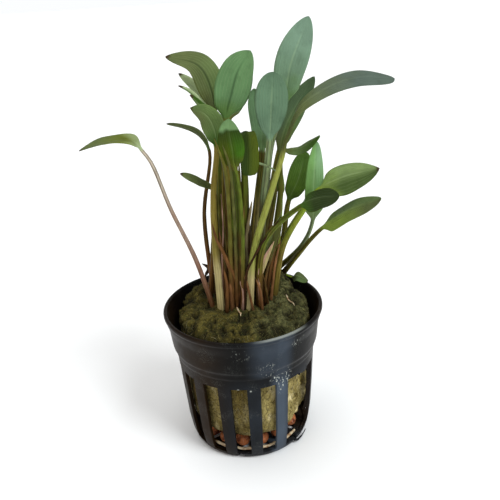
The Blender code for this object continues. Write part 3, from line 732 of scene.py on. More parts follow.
def threads(draw, rows_from, rows_to, count, length, radius, stand, heading, scatter):
    """Rings of thin threads over the felt, and the felt's colour under each. Headings are in degrees.

    A thread wanders from a random place in these rows, along a random heading near the one given. It stands
    off the felt by the sine of its share, and thins to both ends.
    """
    reach = np.linalg.norm(plug_grid[:, 0, :2], axis=-1)
    smooth_rows = plug_surface(plug_profile[:, 0], plug_profile[:, 1], bearing[0])
    row_step = np.linalg.norm(np.diff(smooth_rows, axis=0), axis=-1).mean()
    weight = reach[rows_from:rows_to]
    chosen = draw.choice(np.arange(rows_from, rows_to), count, p=weight / weight.sum())
    row = chosen + draw.random(count)
    column = draw.uniform(0, PLUG_COLUMNS, count)
    share = np.linspace(0, 1, THREAD_RINGS)[None]
    way = radians(heading) + draw.normal(0, radians(scatter), count)[:, None]
    bend = draw.normal(0, 1.0, count)[:, None]
    step = draw.uniform(0.5, 1.0, count)[:, None] * length / (THREAD_RINGS - 1)
    angle = way + bend * (share - 0.5)
    rows = row[:, None] + np.cumsum(np.sin(angle) * step, axis=1) / row_step
    column_step = np.maximum(2 * np.pi * reach[chosen] / PLUG_COLUMNS, 0.02)[:, None]
    columns = column[:, None] + np.cumsum(np.cos(angle) * step, axis=1) / column_step
    place, normal, colour = felt_place(rows, columns)
    off = draw.uniform(0.2, 1.0, count)[:, None] * stand * np.sin(np.pi * share) - THREAD_ROOTED
    thick = draw.uniform(0.6, 1.0, count)[:, None] * radius * (1 - 0.85 * (2 * share - 1) ** 4)
    return threaded(place + normal * off[..., None], thick, 3, normal), colour.mean(axis=1)


strand = Finish("fibres and moss threads", Specular_IOR_Level=0.25)
painted = strand.stored("felt_colour")
strand.feed(strand.shader, {
    "Base Color": strand.mix(painted, strand.mix(painted, STRAND_SHADE, 0.6), strand.noise(0.6, 2)),
    "Roughness": 0.7 + strand.noise(0.5, 1) * 0.2,
})
top_row, foot_row = (int(np.argmax(plug_grid[:, 0, 2] > height)) for height in (MOSS_STARTS, FIBRES_START))
for name, seed, shape, tints, rows_from, rows_to in (
    ("moss_threads", 71, MOSS_THREADS, MOSS_TINTS, top_row, PLUG_ROWS - 4),
    ("rockwool_fibres", 73, FIBRES, FIBRE_TINTS, foot_row, top_row + 4),
):
    draw = np.random.default_rng(seed)
    rings, under = threads(draw, rows_from, rows_to, **shape)
    tint = np.array([tone(level) for level in tints])[draw.integers(0, len(tints), len(rings))]
    corner = np.arange(rings.size // 3).reshape(rings.shape[:3])
    skin = [cells_of(corner).reshape(-1, 4), corner[:, 0, ::-1], corner[:, -1]]
    piece = new_piece(name, rings.reshape(-1, 3), skin, strand, "rockwool")
    colours = blended(under, tint, draw.uniform(0.1, 0.8, len(rings)))
    paint(piece, "felt_colour", np.repeat(colours, THREAD_RINGS * 3, axis=0))

# The leaves
# A rosette of water leaves. Each grew as one piece: a long round stalk that comes up out of the felt, reddish
# at its foot, and a lance-shaped blade 0.4 mm thick, with a sunken midrib, faint lengthwise veins and a soft
# glossy skin.
LEAVES = {
    "leaf_tallest": dict(
        foot=(3.6, 3.4), stalk=[(10, 7.5, 85.5), (13, 8.5, 103), (17.5, 9, 114.5)],
        blade=[(20, 10, 126.5), (26.5, 13, 140.5)], width=10.2, across=(1, 0.1, 0.3), fold=0.12, widest=0.5,
        stalk_radius=1.4, veins=0.22,
        tones=dict(halves="mist", far="mist_grey", base="leaf_green", stem="brown_stalk pale_stalk")),
    "leaf_middle_pale": dict(
        foot=(5.6, -0.2), stalk=[(8.5, -3.5, 84.5), (11.5, -5, 106.5)],
        blade=[(12.5, -5, 117.5), (13.5, -3, 126.5)], width=10, across=(1, 0, 0.05), fold=0.12, widest=0.6,
        stalk_radius=1.4,
        tones=dict(halves="soft_green", base="mist", stem="brown_stalk pale_stalk")),
    "leaf_middle_behind": dict(
        foot=(0.4, 5), stalk=[(7.5, 4, 87), (9.5, 4, 101)], blade=[(10, 4, 112), (8, 5, 121)], width=8,
        across=(0.9, -0.4, 0), stalk_radius=1.5, veins=0.15,
        tones=dict(halves="dull_green", base="leaf_olive", stem="grey_stalk olive_stalk")),
    "leaf_left_broad": dict(
        foot=(-1.8, 1), stalk=[(-1, 0, 85.5), (-1.3, -2, 113)],
        blade=[(1, -3, 121), (3.5, -2, 127.5), (7.5, 0, 132.5)], width=11, across=(1, 0.2, 0.15), fold=0.12,
        widest=0.49, stalk_radius=1.75, veins=-0.4,
        tones=dict(halves="broad_green", base="leaf_green", stem="brown_stalk golden_stalk")),
    "leaf_left_arching": dict(
        foot=(-3.5, 6), stalk=[(-4, 6, 80), (-5, 8, 113)],
        blade=[(-5, 9, 120), (-8.5, 11, 128), (-18.7, 13, 131.3)], width=11, across=(0.6, 0.6, 0.3),
        widest=0.42, power=1.15, stalk_radius=1.5, veins=-0.5,
        tones=dict(halves="olive leaf_olive", far="olive", base="olive_brown", tip="withered",
            stem="red_stalk olive_stalk")),
    "leaf_left_upper": dict(
        foot=(-6, 9), stalk=[(-5.5, 11, 84), (-5.5, 12, 112)],
        blade=[(-8.5, 14, 118), (-11.5, 16, 122), (-15.5, 18, 125.5)], width=4.6, across=(0.5, 0.8, 0.3),
        veins=0.25,
        tones=dict(halves="straw_green", tip="withered", tip_from=0.9, stem="brown_stalk golden_stalk")),
    "leaf_left_middle": dict(
        foot=(-8.5, 4), stalk=[(-6, 4, 86.5), (-5, 2, 113)],
        blade=[(-8.5, 1, 118.5), (-11.5, 0, 122), (-14.5, -1, 124)], width=3.6, across=(0.1, 0.95, 0.15),
        veins=0.3,
        tones=dict(halves="leaf_olive straw_green", tip="withered", tip_from=0.88, edge=0.9,
            stem="golden_stalk olive_stalk")),
    "leaf_left_lower": dict(
        foot=(-5, 1.5), stalk=[(-5, 0.5, 85.5), (-4.5, -3, 112.5)],
        blade=[(-7, -5, 117), (-9, -6, 119.5), (-11, -7, 122)], width=3.6, across=(0.4, 0.9, 0), veins=0.3,
        tones=dict(halves="leaf_olive bright", tip="withered", tip_from=0.88, stem="red_stalk green_stalk")),
    "leaf_left_short": dict(
        foot=(-7.3, -3.8), stalk=[(-7.5, -4, 77), (-6.5, -6, 93), (-4.5, -6.5, 106)],
        blade=[(-5, -7, 112), (-7, -9, 116.5), (-11, -11, 119)], width=7.3, across=(0.8, 0.5, 0.3),
        widest=0.42, stalk_radius=1.24, veins=0.25,
        tones=dict(halves="leaf_olive", far="olive leaf_olive", base="bright", tip="withered",
            stem="sheath golden_stalk", stripes=0.4)),
    "leaf_left_thin_arch": dict(
        foot=(-10, 8), stalk=[(-11, 11, 79), (-7.5, 14, 100)],
        blade=[(-9.5, 15, 104.5), (-12.5, 17, 107), (-21.5, 21, 109)], width=4.5, power=1.0,
        across=(0.2, 0.9, 0.1), stalk_radius=0.9,
        tones=dict(halves="olive", base="leaf_olive", tip="withered", stem="red_stalk brown_stalk")),
    "leaf_left_low": dict(
        foot=(-11.5, 1.5), stalk=[(-8.5, 1, 71.5), (-6.5, -2, 91)],
        blade=[(-11, -5, 95.5), (-16, -9, 99.5)], width=2.9, across=(0.4, 0.8, 0.4), stalk_radius=0.9,
        veins=0.15,
        tones=dict(halves="olive", base="olive_brown", tip="withered", stem="red_stalk olive_stalk")),
    "leaf_drooping": dict(
        foot=(-9.9, -1.4),
        stalk=[(-14.5, -3, 69), (-20.5, -5, 87.5), (-24.5, -6, 102.5), (-26.5, -7, 106.5)],
        blade=[(-29, -8, 110), (-37, -10, 110.5), (-44, -12, 109)], width=8, across=(0.1, 0.98, 0.15),
        widest=0.42, stalk_radius=0.85, veins=0.12,
        tones=dict(halves="gold_green", far="olive", base="straw_green", tip="withered",
            stem="pink_stalk faded_stalk", at_foot="red_stalk", stripes=0.9)),
    # Painted light on this leaf: its pale tip tone is light on the upturned tip, and its dark far tone is
    # shade under the bend.
    "leaf_front_cupped": dict(
        foot=(-1.6, -3.8), stalk=[(0.8, -5.5, 84), (0.4, -9.5, 99.5)],
        blade=[(0.1, -12, 106), (-0.5, -12.5, 111.5), (-0.3, -10, 115)], width=7.6, across=(1, 0.25, 0.1),
        fold=0.2, widest=0.5, stalk_radius=1.45, veins=0.1,
        tones=dict(halves="bronze_olive vivid", far="moss_green", tip="sage", tip_from=0.76,
            stem="brown_stalk green_stalk")),
    "leaf_front_hanging": dict(
        foot=(1.8, 0), stalk=[(3, 0, 82), (3.5, -1.5, 100.5), (3.5, -4, 108.5)],
        blade=[(5, -6.7, 109.8), (5.3, -7.5, 105.5), (4.9, -7.7, 97)], width=5.8, across=(1, 0.2, 0.1),
        fold=0.15, widest=0.7, power=0.7, stalk_radius=1.5, veins=0.0,
        tones=dict(halves="deep_olive bronze_olive", base="moss_green", stem="red_stalk green_stalk")),
    "leaf_right_dark": dict(
        foot=(4.3, 8), stalk=[(11.7, 11, 83), (15.5, 14, 97.5)],
        blade=[(18.5, 15, 107), (22.5, 17, 113.5), (29, 20, 121.5)], width=8, across=(0.9, 0.4, 0.3),
        widest=0.5, stalk_radius=1.4, veins=0.1,
        tones=dict(halves="dark_green leaf_olive", far="dark_green", base="olive_brown",
            stem="red_stalk olive_stalk")),
    "leaf_right_long_arch": dict(
        foot=(2, -5.5), stalk=[(4.5, -6, 70), (10.5, -6, 88.5), (15, -5, 101)],
        blade=[(17.3, -4, 108), (20.8, -3, 115), (28, -1, 119.7), (39, 2, 122.6), (52, 6, 121)], width=6.8,
        across=(0.25, 0.75, 0.5), fold=0.2, widest=0.6, power=1, stalk_radius=1.35, veins=0.08,
        tones=dict(halves="olive", far="slate", base="olive_brown", stem="sheath lime_stalk", stripes=0.3)),
    "leaf_right_curled": dict(
        foot=(7.6, 2.1), stalk=[(14.8, 2.5, 87), (16, 1, 101.5)], blade=[(21, -1, 102.5), (27, -4, 107)],
        width=6, across=(0.2, 0.9, 0.3), stalk_radius=1.25,
        tones=dict(halves="leaf_olive", far="bright leaf_olive", stem="red_stalk green_stalk")),
    "leaf_right_inner": dict(
        foot=(10.5, 9.5), stalk=[(15.5, 9, 68.5), (18, 10, 82)], blade=[(21.5, 10, 89.5), (24.5, 12, 98.5)],
        width=7.6, across=(0.9, -0.3, 0.3), power=1.1, stalk_radius=1.3, veins=0.25,
        tones=dict(halves="inner_green", far="leaf_green", base="shade_olive",
            stem="brown_stalk olive_stalk")),
    "leaf_right_upright": dict(
        foot=(12.2, 13.6), stalk=[(22, 9, 66), (25.5, 6, 75.5)], blade=[(26, 4, 91), (27, 4, 103.5)],
        width=7, across=(1, 0.3, 0.1), widest=0.35, power=0.8, stalk_radius=1, veins=0.4,
        tones=dict(halves="leaf_green spring", far="spring mint", base="pale_olive",
            stem="olive_stalk pale_stalk", edge=0.8)),
    "leaf_right_folded": dict(
        foot=(10.8, 2.2), stalk=[(15, 2, 69.5), (22, 1, 82), (27, 0, 88.5)],
        blade=[(34.5, -1, 92.5), (46, -2, 95)], width=11.5, across=(0.3, 0.7, 0.7), fold=0.35, widest=0.42,
        stalk_radius=1.4, veins=0.25,
        tones=dict(halves="shade_olive light_olive", base="yellow_green", tip="withered",
            stem="golden_stalk bright_stalk")),
    "leaf_right_front": dict(
        foot=(5.3, -3.2), stalk=[(8.7, -8.5, 76), (19.5, -12, 87.5)],
        blade=[(25, -14, 90.5), (30.5, -17, 91.5)], width=8.4, across=(0.3, 0.8, 0.6), widest=0.45,
        power=1.1, veins=0.1,
        tones=dict(halves="moss_green", base="bright", edge=1.6, stem="brown_stalk green_stalk")),
    "leaf_right_low": dict(
        foot=(15.5, 12.5), stalk=[(20, 6, 63.5), (27.5, 0, 75)], blade=[(35.5, -5, 82.5), (44.5, -11, 88)],
        width=8.5, across=(0.3, 0.7, 0.6), widest=0.4, power=0.95, stalk_radius=1, veins=0.15,
        tones=dict(halves="yellow_green leaf_olive", far="olive leaf_olive", base="yellow_green",
            stem="olive_stalk")),
    "leaf_right_young": dict(
        foot=(11.4, 6.8), stalk=[(14.8, 7, 78.5), (15.3, 7, 84.5)], blade=[(15, 6.5, 89.5), (15, 6, 94.5)],
        width=4.2, across=(0.6, 0.7, 0.3), fold=0.3, widest=0.5, stalk_radius=0.9, veins=0.3,
        tones=dict(halves="bright inner_green", stem="golden_stalk bright_stalk")),
    "leaf_back_left": dict(
        foot=(-3, 10.5), stalk=[(-3.5, 14, 77.5), (-0.5, 20, 108.5)],
        blade=[(1.5, 25, 115.5), (3, 32, 120.5)], width=9, across=(1, 0.2, 0), stalk_radius=1.4, veins=0.3,
        tones=dict(halves="pale_olive dull_green", stem="red_stalk olive_stalk")),
    "leaf_back_middle": dict(
        foot=(1, 11.5), stalk=[(9, 16, 79.5), (13.5, 24, 100.5)], blade=[(14, 31, 110.5), (14, 40, 111.5)],
        width=8, across=(1, 0, 0), veins=0.3,
        tones=dict(halves="leaf_olive dull_green", stem="brown_stalk olive_stalk")),
    "leaf_back_right": dict(
        foot=(7, 12.3), stalk=[(13.2, 17, 80.5), (18, 22, 102.5)], blade=[(23, 28, 109.5), (27, 36, 113)],
        width=7, across=(0.9, -0.4, 0), stalk_radius=1.4, veins=0.3,
        tones=dict(halves="inner_green leaf_olive", stem="red_stalk green_stalk")),
    "leaf_back_outer": dict(
        foot=(-7, 12.5), stalk=[(-6, 17, 76.5), (-4, 24, 98)], blade=[(-4, 30, 107), (-5, 38, 108)],
        width=8, across=(0.9, 0.4, 0), veins=0.3,
        tones=dict(halves="dull_green soft_green", stem="brown_stalk golden_stalk")),
    "young_shoot": dict(
        foot=(7.4, 6.4), stalk=[(7.8, 6.1, 55)], blade=[(8.8, 5.6, 57.4), (11.2, 5, 60.6)], width=3.6,
        across=(0.9, 0.3, 0), fold=0.3, widest=0.5, power=1.1, stalk_radius=0.8,
        tones=dict(halves="leaf_green inner_green", base="inner_green", stem="sheath bright_stalk",
            edge=2.5)),
    "small_leaf_on_plug": dict(
        foot=(13.8, 15.3), stalk=[(18.5, 13, 52)], blade=[(20.5, 11, 53), (24, 9.5, 51.5)], width=4.6,
        across=(0, 0.9, 0.3), fold=0.15, widest=0.5, power=1, stalk_radius=0.5,
        tones=dict(halves="leaf_olive olive", tip="withered", stem="bright_stalk")),
}
NECK_SHARE = 0.65
OUTLINE_POWER = 1.35
STALK_RADIUS = 1.2
SPAN_STEPS = 24
STALK_RINGS = 30
BLADE_RINGS = 60
HALF_SIDES = 14
SUNK = 1.5
BLADE_THICKNESS = 0.42
THINNEST = 0.12
MARGIN_CURL = 0.09
MARGIN_WAVE = 0.055
GROOVE_DEPTH = 0.20
GROOVE_WIDTH = 0.30
RIDGE_DEPTH = 0.42
RIDGE_WIDTH = 0.42
VEIN_RELIEF = 0.045
RELIEF_VEINS = 4.5
PAINTED_VEINS = 5.5
DEFAULT_VEINS = 0.2
VEIN_PALE = (196, 214, 160)
MIDRIB_DARK = (16, 34, 10)
BLOTCH = (30, 44, 16)
STREAK = (70, 30, 20)
TONES = {
    "mist": (110, 139, 110), "mist_grey": (115, 143, 121), "soft_green": (92, 120, 94),
    "broad_green": (92, 127, 82), "dull_green": (116, 152, 110), "straw_green": (168, 184, 138),
    "pale_olive": (112, 130, 84), "leaf_green": (86, 118, 50), "olive": (88, 99, 56),
    "olive_brown": (84, 88, 42), "leaf_olive": (91, 113, 62), "shade_olive": (64, 84, 34),
    "deep_olive": (44, 64, 4), "bronze_olive": (72, 86, 4), "vivid": (62, 104, 18), "sage": (100, 132, 84),
    "bright": (54, 88, 14), "inner_green": (94, 126, 44), "spring": (116, 160, 92), "mint": (134, 172, 126),
    "yellow_green": (124, 146, 58), "light_olive": (126, 150, 88), "slate": (82, 97, 86),
    "dark_green": (68, 87, 58), "moss_green": (36, 52, 12), "gold_green": (92, 101, 28),
    "withered": (62, 44, 26), "dry_pink": (176, 138, 118), "crown": (50, 32, 14),
    "red_stalk": (106, 72, 38), "rust": (132, 92, 56), "brown_stalk": (88, 66, 30),
    "golden_stalk": (126, 112, 48), "olive_stalk": (92, 90, 34), "green_stalk": (84, 98, 30),
    "bright_stalk": (126, 150, 44), "pale_stalk": (112, 128, 90), "grey_stalk": (136, 122, 88),
    "pink_stalk": (138, 104, 86), "faded_stalk": (172, 160, 144), "sheath": (176, 162, 112),
    "lime_stalk": (152, 158, 74),
}
PAINTS = {name: tone(levels) for name, levels in TONES.items()}


def smooth_path(places):
    """SPAN_STEPS points to a span of a curve through the places.

    Each span is a cubic whose slope at a place is that of the parabola through it and its two neighbours.
    """
    knots = np.concatenate([[0.0], np.cumsum(np.linalg.norm(np.diff(places, axis=0), axis=1) ** 0.5)])
    slopes = np.gradient(places, knots, axis=0)
    span = np.repeat(np.arange(len(places) - 1), SPAN_STEPS)
    share = np.tile(np.arange(SPAN_STEPS) / SPAN_STEPS, len(places) - 1)[:, None]
    step = np.diff(knots)[span][:, None]
    path = ((1 + 2 * share) * places[span] + share * step * slopes[span]) * (1 - share) ** 2
    path += ((3 - 2 * share) * places[span + 1] + (share - 1) * step * slopes[span + 1]) * share**2
    return np.vstack([path, places[-1]])


def smooth_step(share):
    """0 below 0, 1 above 1, and 3 s^2 - 2 s^3 between."""
    share = np.clip(share, 0, 1)
    return share * share * (3 - 2 * share)


def leaf_surface(
        foot, stalk, blade, width, across,
        fold=0.25, widest=0.55, power=OUTLINE_POWER, stalk_radius=STALK_RADIUS, seed=0):
    """Rings along a leaf, and for each of its points the place across the blade, the share of the blade's
    length, the share of the stalk's length and the angle round the ring, which is negative underneath.

    The stalk leaves the felt at the foot. Its midline and the blade's pass the places given, and across is
    the way from one margin of the blade to the other.

    The stalk is round with shallow flutes, and tapers to the neck. Past it the ring flattens into a blade,
    whose half width at share s is s**p * (1 - s)**q scaled to 1 at its widest. The blade folds up from its
    midrib, curls and waves at its margins, and thins towards them. A groove runs along the midrib above, with
    a ridge under it.
    """
    start = (*foot, plug_height(*foot) - SUNK)
    path = smooth_path(np.array([start, *stalk, *blade], dtype=float))
    neck = len(stalk) * SPAN_STEPS
    t = np.linspace(0, 1, BLADE_RINGS + 1)[1:]
    marks = 0.45 * t + 0.55 * np.sin(np.pi / 2 * t) ** 1.5
    up_from_foot = np.linspace(0, 1, STALK_RINGS)
    centres = np.vstack([places_along(path[:neck + 1], up_from_foot), places_along(path[neck:], marks)])
    forward = np.gradient(centres, travelled(centres), axis=0)
    forward[0] = (0, 0, 1)
    forward = unit(forward)
    sideways = np.array(across, dtype=float)
    sideways = unit(sideways - (forward @ sideways)[:, None] * forward)
    upward = np.cross(sideways, forward)

    share = np.concatenate([np.zeros(STALK_RINGS), marks])[:, None]
    up_stalk = np.concatenate([up_from_foot, np.ones(BLADE_RINGS)])[:, None]
    outline = (share / widest) ** (power * widest)
    outline = outline * ((1 - share) / (1 - widest)) ** (power * (1 - widest))
    stem = stalk_radius * (1 + (NECK_SHARE - 1) * up_stalk) * (1 - share)
    stem = stem * (1 + 0.06 * cloud(centres, 5.0, seed)[:, None])
    half = np.maximum((stem**2 + (width / 2 * outline) ** 2) ** 0.5, THINNEST)

    over = np.linspace(-1, 1, 2 * HALF_SIDES + 1)
    t = np.concatenate([over, over[-2:0:-1]])
    face = np.concatenate([np.ones(len(over)), -np.ones(len(over) - 2)])
    x = t * (0.6 + 0.4 * np.abs(t))
    angle = np.pi / 2 * (1 - t) * face
    from_midrib = np.abs(x) * half
    grow = np.clip(share * 4, 0, 1) * (1 - share**6)
    thick = BLADE_THICKNESS / 2 * (1 - 0.4 * share) * (1 - x**4) ** 0.5
    valley = fold * half * ((x * x + 0.012) ** 0.5 - 0.11)
    curl = -MARGIN_CURL * half * np.abs(x) ** 5 * grow
    waves = MARGIN_WAVE * half * x * x * np.sin(9.5 * share + 2.2 * np.sign(x) + seed) * grow
    groove = -GROOVE_DEPTH * np.exp(-((from_midrib / GROOVE_WIDTH) ** 2)) * (1 - share) ** 0.5 * (face > 0)
    ridge = -RIDGE_DEPTH * np.exp(-((from_midrib / RIDGE_WIDTH) ** 2)) * (1 - share) * (face < 0)
    veins = VEIN_RELIEF * np.cos(2 * np.pi * RELIEF_VEINS * np.abs(x)) * (1 - x * x) * grow
    blade_lift = thick * face + valley + curl + waves + groove + ridge + veins
    fluted = stem * (1 + 0.045 * np.cos(6 * angle + seed) + 0.03 * np.cos(11 * angle - 2 * seed))
    channel = -0.16 * stem * np.exp(-((t / 0.3) ** 2)) * (face > 0) * up_stalk
    flat = smooth_step(5 * share)
    out = (1 - flat) * fluted * np.cos(angle) + flat * half * x
    lift = (1 - flat) * (fluted * np.sin(angle) + channel) + flat * blade_lift
    rings = centres[:, None] + out[..., None] * sideways[:, None] + lift[..., None] * upward[:, None]
    return rings, *np.broadcast_arrays(x, share, up_stalk, angle)


def leaf_colour(
        rings, x, share, up_stalk, angle, seed, halves, stem, far=None, base="olive_stalk", tip=None,
        tip_from=0.93, edge=0.5, at_foot="crown", stripes=1.0):
    """The leaf's painted colours. The stalk goes from one tone to another, with stripes that are partly
    painted shade and highlight, and darker at its foot, partly its own red-brown and partly painted shade of
    the crown.
    The blade has its own tone at the base, in its left and right halves, farther out and at the tip, with
    clouds, a paler underside and a pale margin that is partly painted highlight. One name stands for both
    tones of a pair."""
    low, high, left, right, far_left, far_right = (
        PAINTS[name] for names in (stem, halves, far or halves) for name in (names.split() * 2)[:2])
    start, length = (0.24, 0.16) if stem.startswith("sheath") else (0.3, 0.45)
    stalk = blended(low, high, (up_stalk - start) / length + 0.35 * cloud(rings, 5, 93, 2))
    # Dark and pale lengthwise stripes, partly painted shade and highlight, as in the gaps and glints between
    # thin crowded stalks.
    round_it = np.stack([2.4 * np.cos(angle), 2.4 * np.sin(angle), 2.0 * up_stalk + 5 * seed], axis=-1)
    stripe = cloud(round_it, 1.0, 92, 2) + 0.25 * cloud(rings * (1, 1, 0.2), 1.0, 90)
    stalk = blended(stalk, stalk * 0.42, stripes * (1.5 * stripe - 0.1))
    stalk = blended(stalk, stalk * 1.5 + (0.03, 0.03, 0.0), stripes * (-1.3 * stripe - 0.1))
    # Painted shade with the stalk's own red-brown: a stalk darkens to the crown tone at its foot, among the
    # crowded stalks.
    if not stem.startswith("sheath"):
        stalk = blended(PAINTS[at_foot], stalk, up_stalk / 0.26 + 0.3 * cloud(rings, 4, 91))
    near, outer = (blended(*sides, 0.5 + 1.3 * x) for sides in ((left, right), (far_left, far_right)))
    blade = blended(near, outer, (share - 0.35) / 0.4 + 0.2 * cloud(rings, 4, 94))
    blade = blended(PAINTS[base], blade, share / 0.36 + 0.25 * cloud(rings, 3, 95))
    blade = blade * (1 + 0.12 * cloud(rings * (1, 1, 0.6), 4.5, 97, 3)[..., None])
    blade = blended(blade, blade * 0.9 + 0.015, 0.45 * (angle < 0))
    # A pale margin, partly the leaf's own and partly a painted highlight along its lit edge.
    blade = blended(blade, blade * 1.25 + (0.03, 0.03, 0.0), np.clip((np.abs(x) - 0.93) / 0.05, 0, 1) * edge)
    if tip:
        blade = blended(blade, PAINTS[tip], (share - tip_from - 0.03 * cloud(rings, 1.2, 99)) / 0.05)
    return blended(stalk, blade, share / 0.06)


leaf_skin = Finish("leaf skin", Specular_IOR_Level=0.07)
painted = leaf_skin.stored("leaf_colour")
across, up_blade, veined = leaf_skin.axes(leaf_skin.stored("leaf_place", "Vector"))
pale_veined = leaf_skin.math("MAXIMUM", veined, 0.0)
dark_veined = leaf_skin.math("MAXIMUM", veined * -1, 0.0)
bladed = leaf_skin.rise(up_blade, 0.02, 0.2)
from_rib = leaf_skin.math("ABSOLUTE", across)
wobble = leaf_skin.noise(3.0, 2) * 0.35
lines = leaf_skin.math("COSINE", (from_rib * PAINTED_VEINS + wobble) * (2 * np.pi)) * 0.5 + 0.5
lines = lines**5 * bladed
midrib = leaf_skin.rise(from_rib, 0.09, 0.02) * bladed * leaf_skin.rise(up_blade, 1.0, 0.55)
speckle = leaf_skin.noise(0.6, 3)
blotch = leaf_skin.noise(2.4, 3)
streak = leaf_skin.noise(0.5, 2, (1, 1, 0.07)) * (1 - bladed)
colour = painted
for levels, strength, amount in (
    (VEIN_PALE, 0.5, lines * 0.3 * (pale_veined + dark_veined) + midrib * pale_veined),
    (MIDRIB_DARK, 0.75, midrib * dark_veined * 1.6),
    (BLOTCH, 0.55, leaf_skin.rise(blotch, 0.5, 0.32) * 0.22),
    (STREAK, 0.7, leaf_skin.rise(streak, 0.5, 0.66) * 0.42),
):
    colour = leaf_skin.mix(colour, leaf_skin.mix(painted, levels, strength), amount)
leaf_skin.feed(leaf_skin.shader, {
    "Base Color": colour,
    "Roughness": 0.36 + speckle * 0.16 + blotch * 0.1,
    "Normal": leaf_skin.bump(speckle * 0.5 + lines * 0.7 + blotch * 0.4, 0.10),
})


def new_leaf(name, nodes, seed, colour_seed, tones, **shape):
    """A leaf as a piece, and the grids of its places across the blade and along it."""
    rings, x, share, up_stalk, angle = leaf_surface(**shape, seed=seed)
    points, faces = lofted(rings)
    leaf = new_piece(name, points, faces, leaf_skin, "leaf", *nodes)
    colours = leaf_colour(rings, x, share, up_stalk, angle, colour_seed, **tones)
    paint(leaf, "leaf_colour", with_poles(colours))
    return leaf, x, share


for number, (node, shape) in enumerate(LEAVES.items()):
    veins = shape.pop("veins", DEFAULT_VEINS)
    leaf, x, share = new_leaf("grown_" + node, [node], number, number, **shape)
    places = with_poles(np.stack([x, share, np.full_like(x, veins)], axis=-1))
    layer = leaf.data.attributes.new("leaf_place", "FLOAT_VECTOR", "POINT")
    layer.data.foreach_set("vector", places.astype(np.float32).ravel())

# Bits on the felt and in the crown
# Two pale rootlets that lie over the top of the plug, two dry sheaths that lean out from between the stalks,
# the withered tip of an old leaf at the back left, and thin stalks and torn sheaths that old leaves left in
# the crown.
ROOTLETS = {
    "rootlet_left": ([(-2.2, -5.4), (-1.9, -6.6), (-1.5, -7.8), (-0.9, -9.4), (-1.0, -11.0)], 0.26),
    "rootlet_right": ([(15.2, 1.3), (15.6, -0.8), (16.8, -2.6), (17.5, -4.8)], 0.22),
}
ROOTLET_LIFT = 0.75
DRY_LEAVES = {
    "dry_sheath": dict(
        foot=(5.9, -4.6), stalk=[(6, -6.2, 61.5)], blade=[(8, -7.0, 68.2), (11.4, -6.6, 74.5)], width=2.2,
        across=(0.9, 0.3, -0.3), fold=0.3, widest=0.4, stalk_radius=0.7,
        tones=dict(halves="dry_pink sheath", base="dry_pink", stem="red_stalk dry_pink")),
    "dark_sheath": dict(
        foot=(5.2, -2.6), stalk=[(7.2, -3.6, 64)],
        blade=[(9.4, -4.4, 71.5), (12, -4.8, 77.7), (14.1, -4.8, 82.7)], width=3.8, across=(0.8, 0.2, -0.5),
        fold=0.6, widest=0.45, stalk_radius=0.8,
        tones=dict(halves="olive olive_brown", base="olive_brown", stem="crown brown_stalk")),
    "withered_tip": dict(
        foot=(-13.6, 13.2), stalk=[(-13, 15.5, 53.5)], blade=[(-12, 18, 55.8), (-14, 19.5, 57)], width=2.2,
        across=(0.4, 0.9, 0.1), fold=0.3, widest=0.4, stalk_radius=0.4,
        tones=dict(halves="withered crown", base="withered", stem="crown withered")),
}
OLD_STALK_RINGS = 44
OLD_STALK_THINNEST = 0.08
BURIED = 49
REDDENED = ("olive_stalk", "olive_brown", "green_stalk", "golden_stalk")
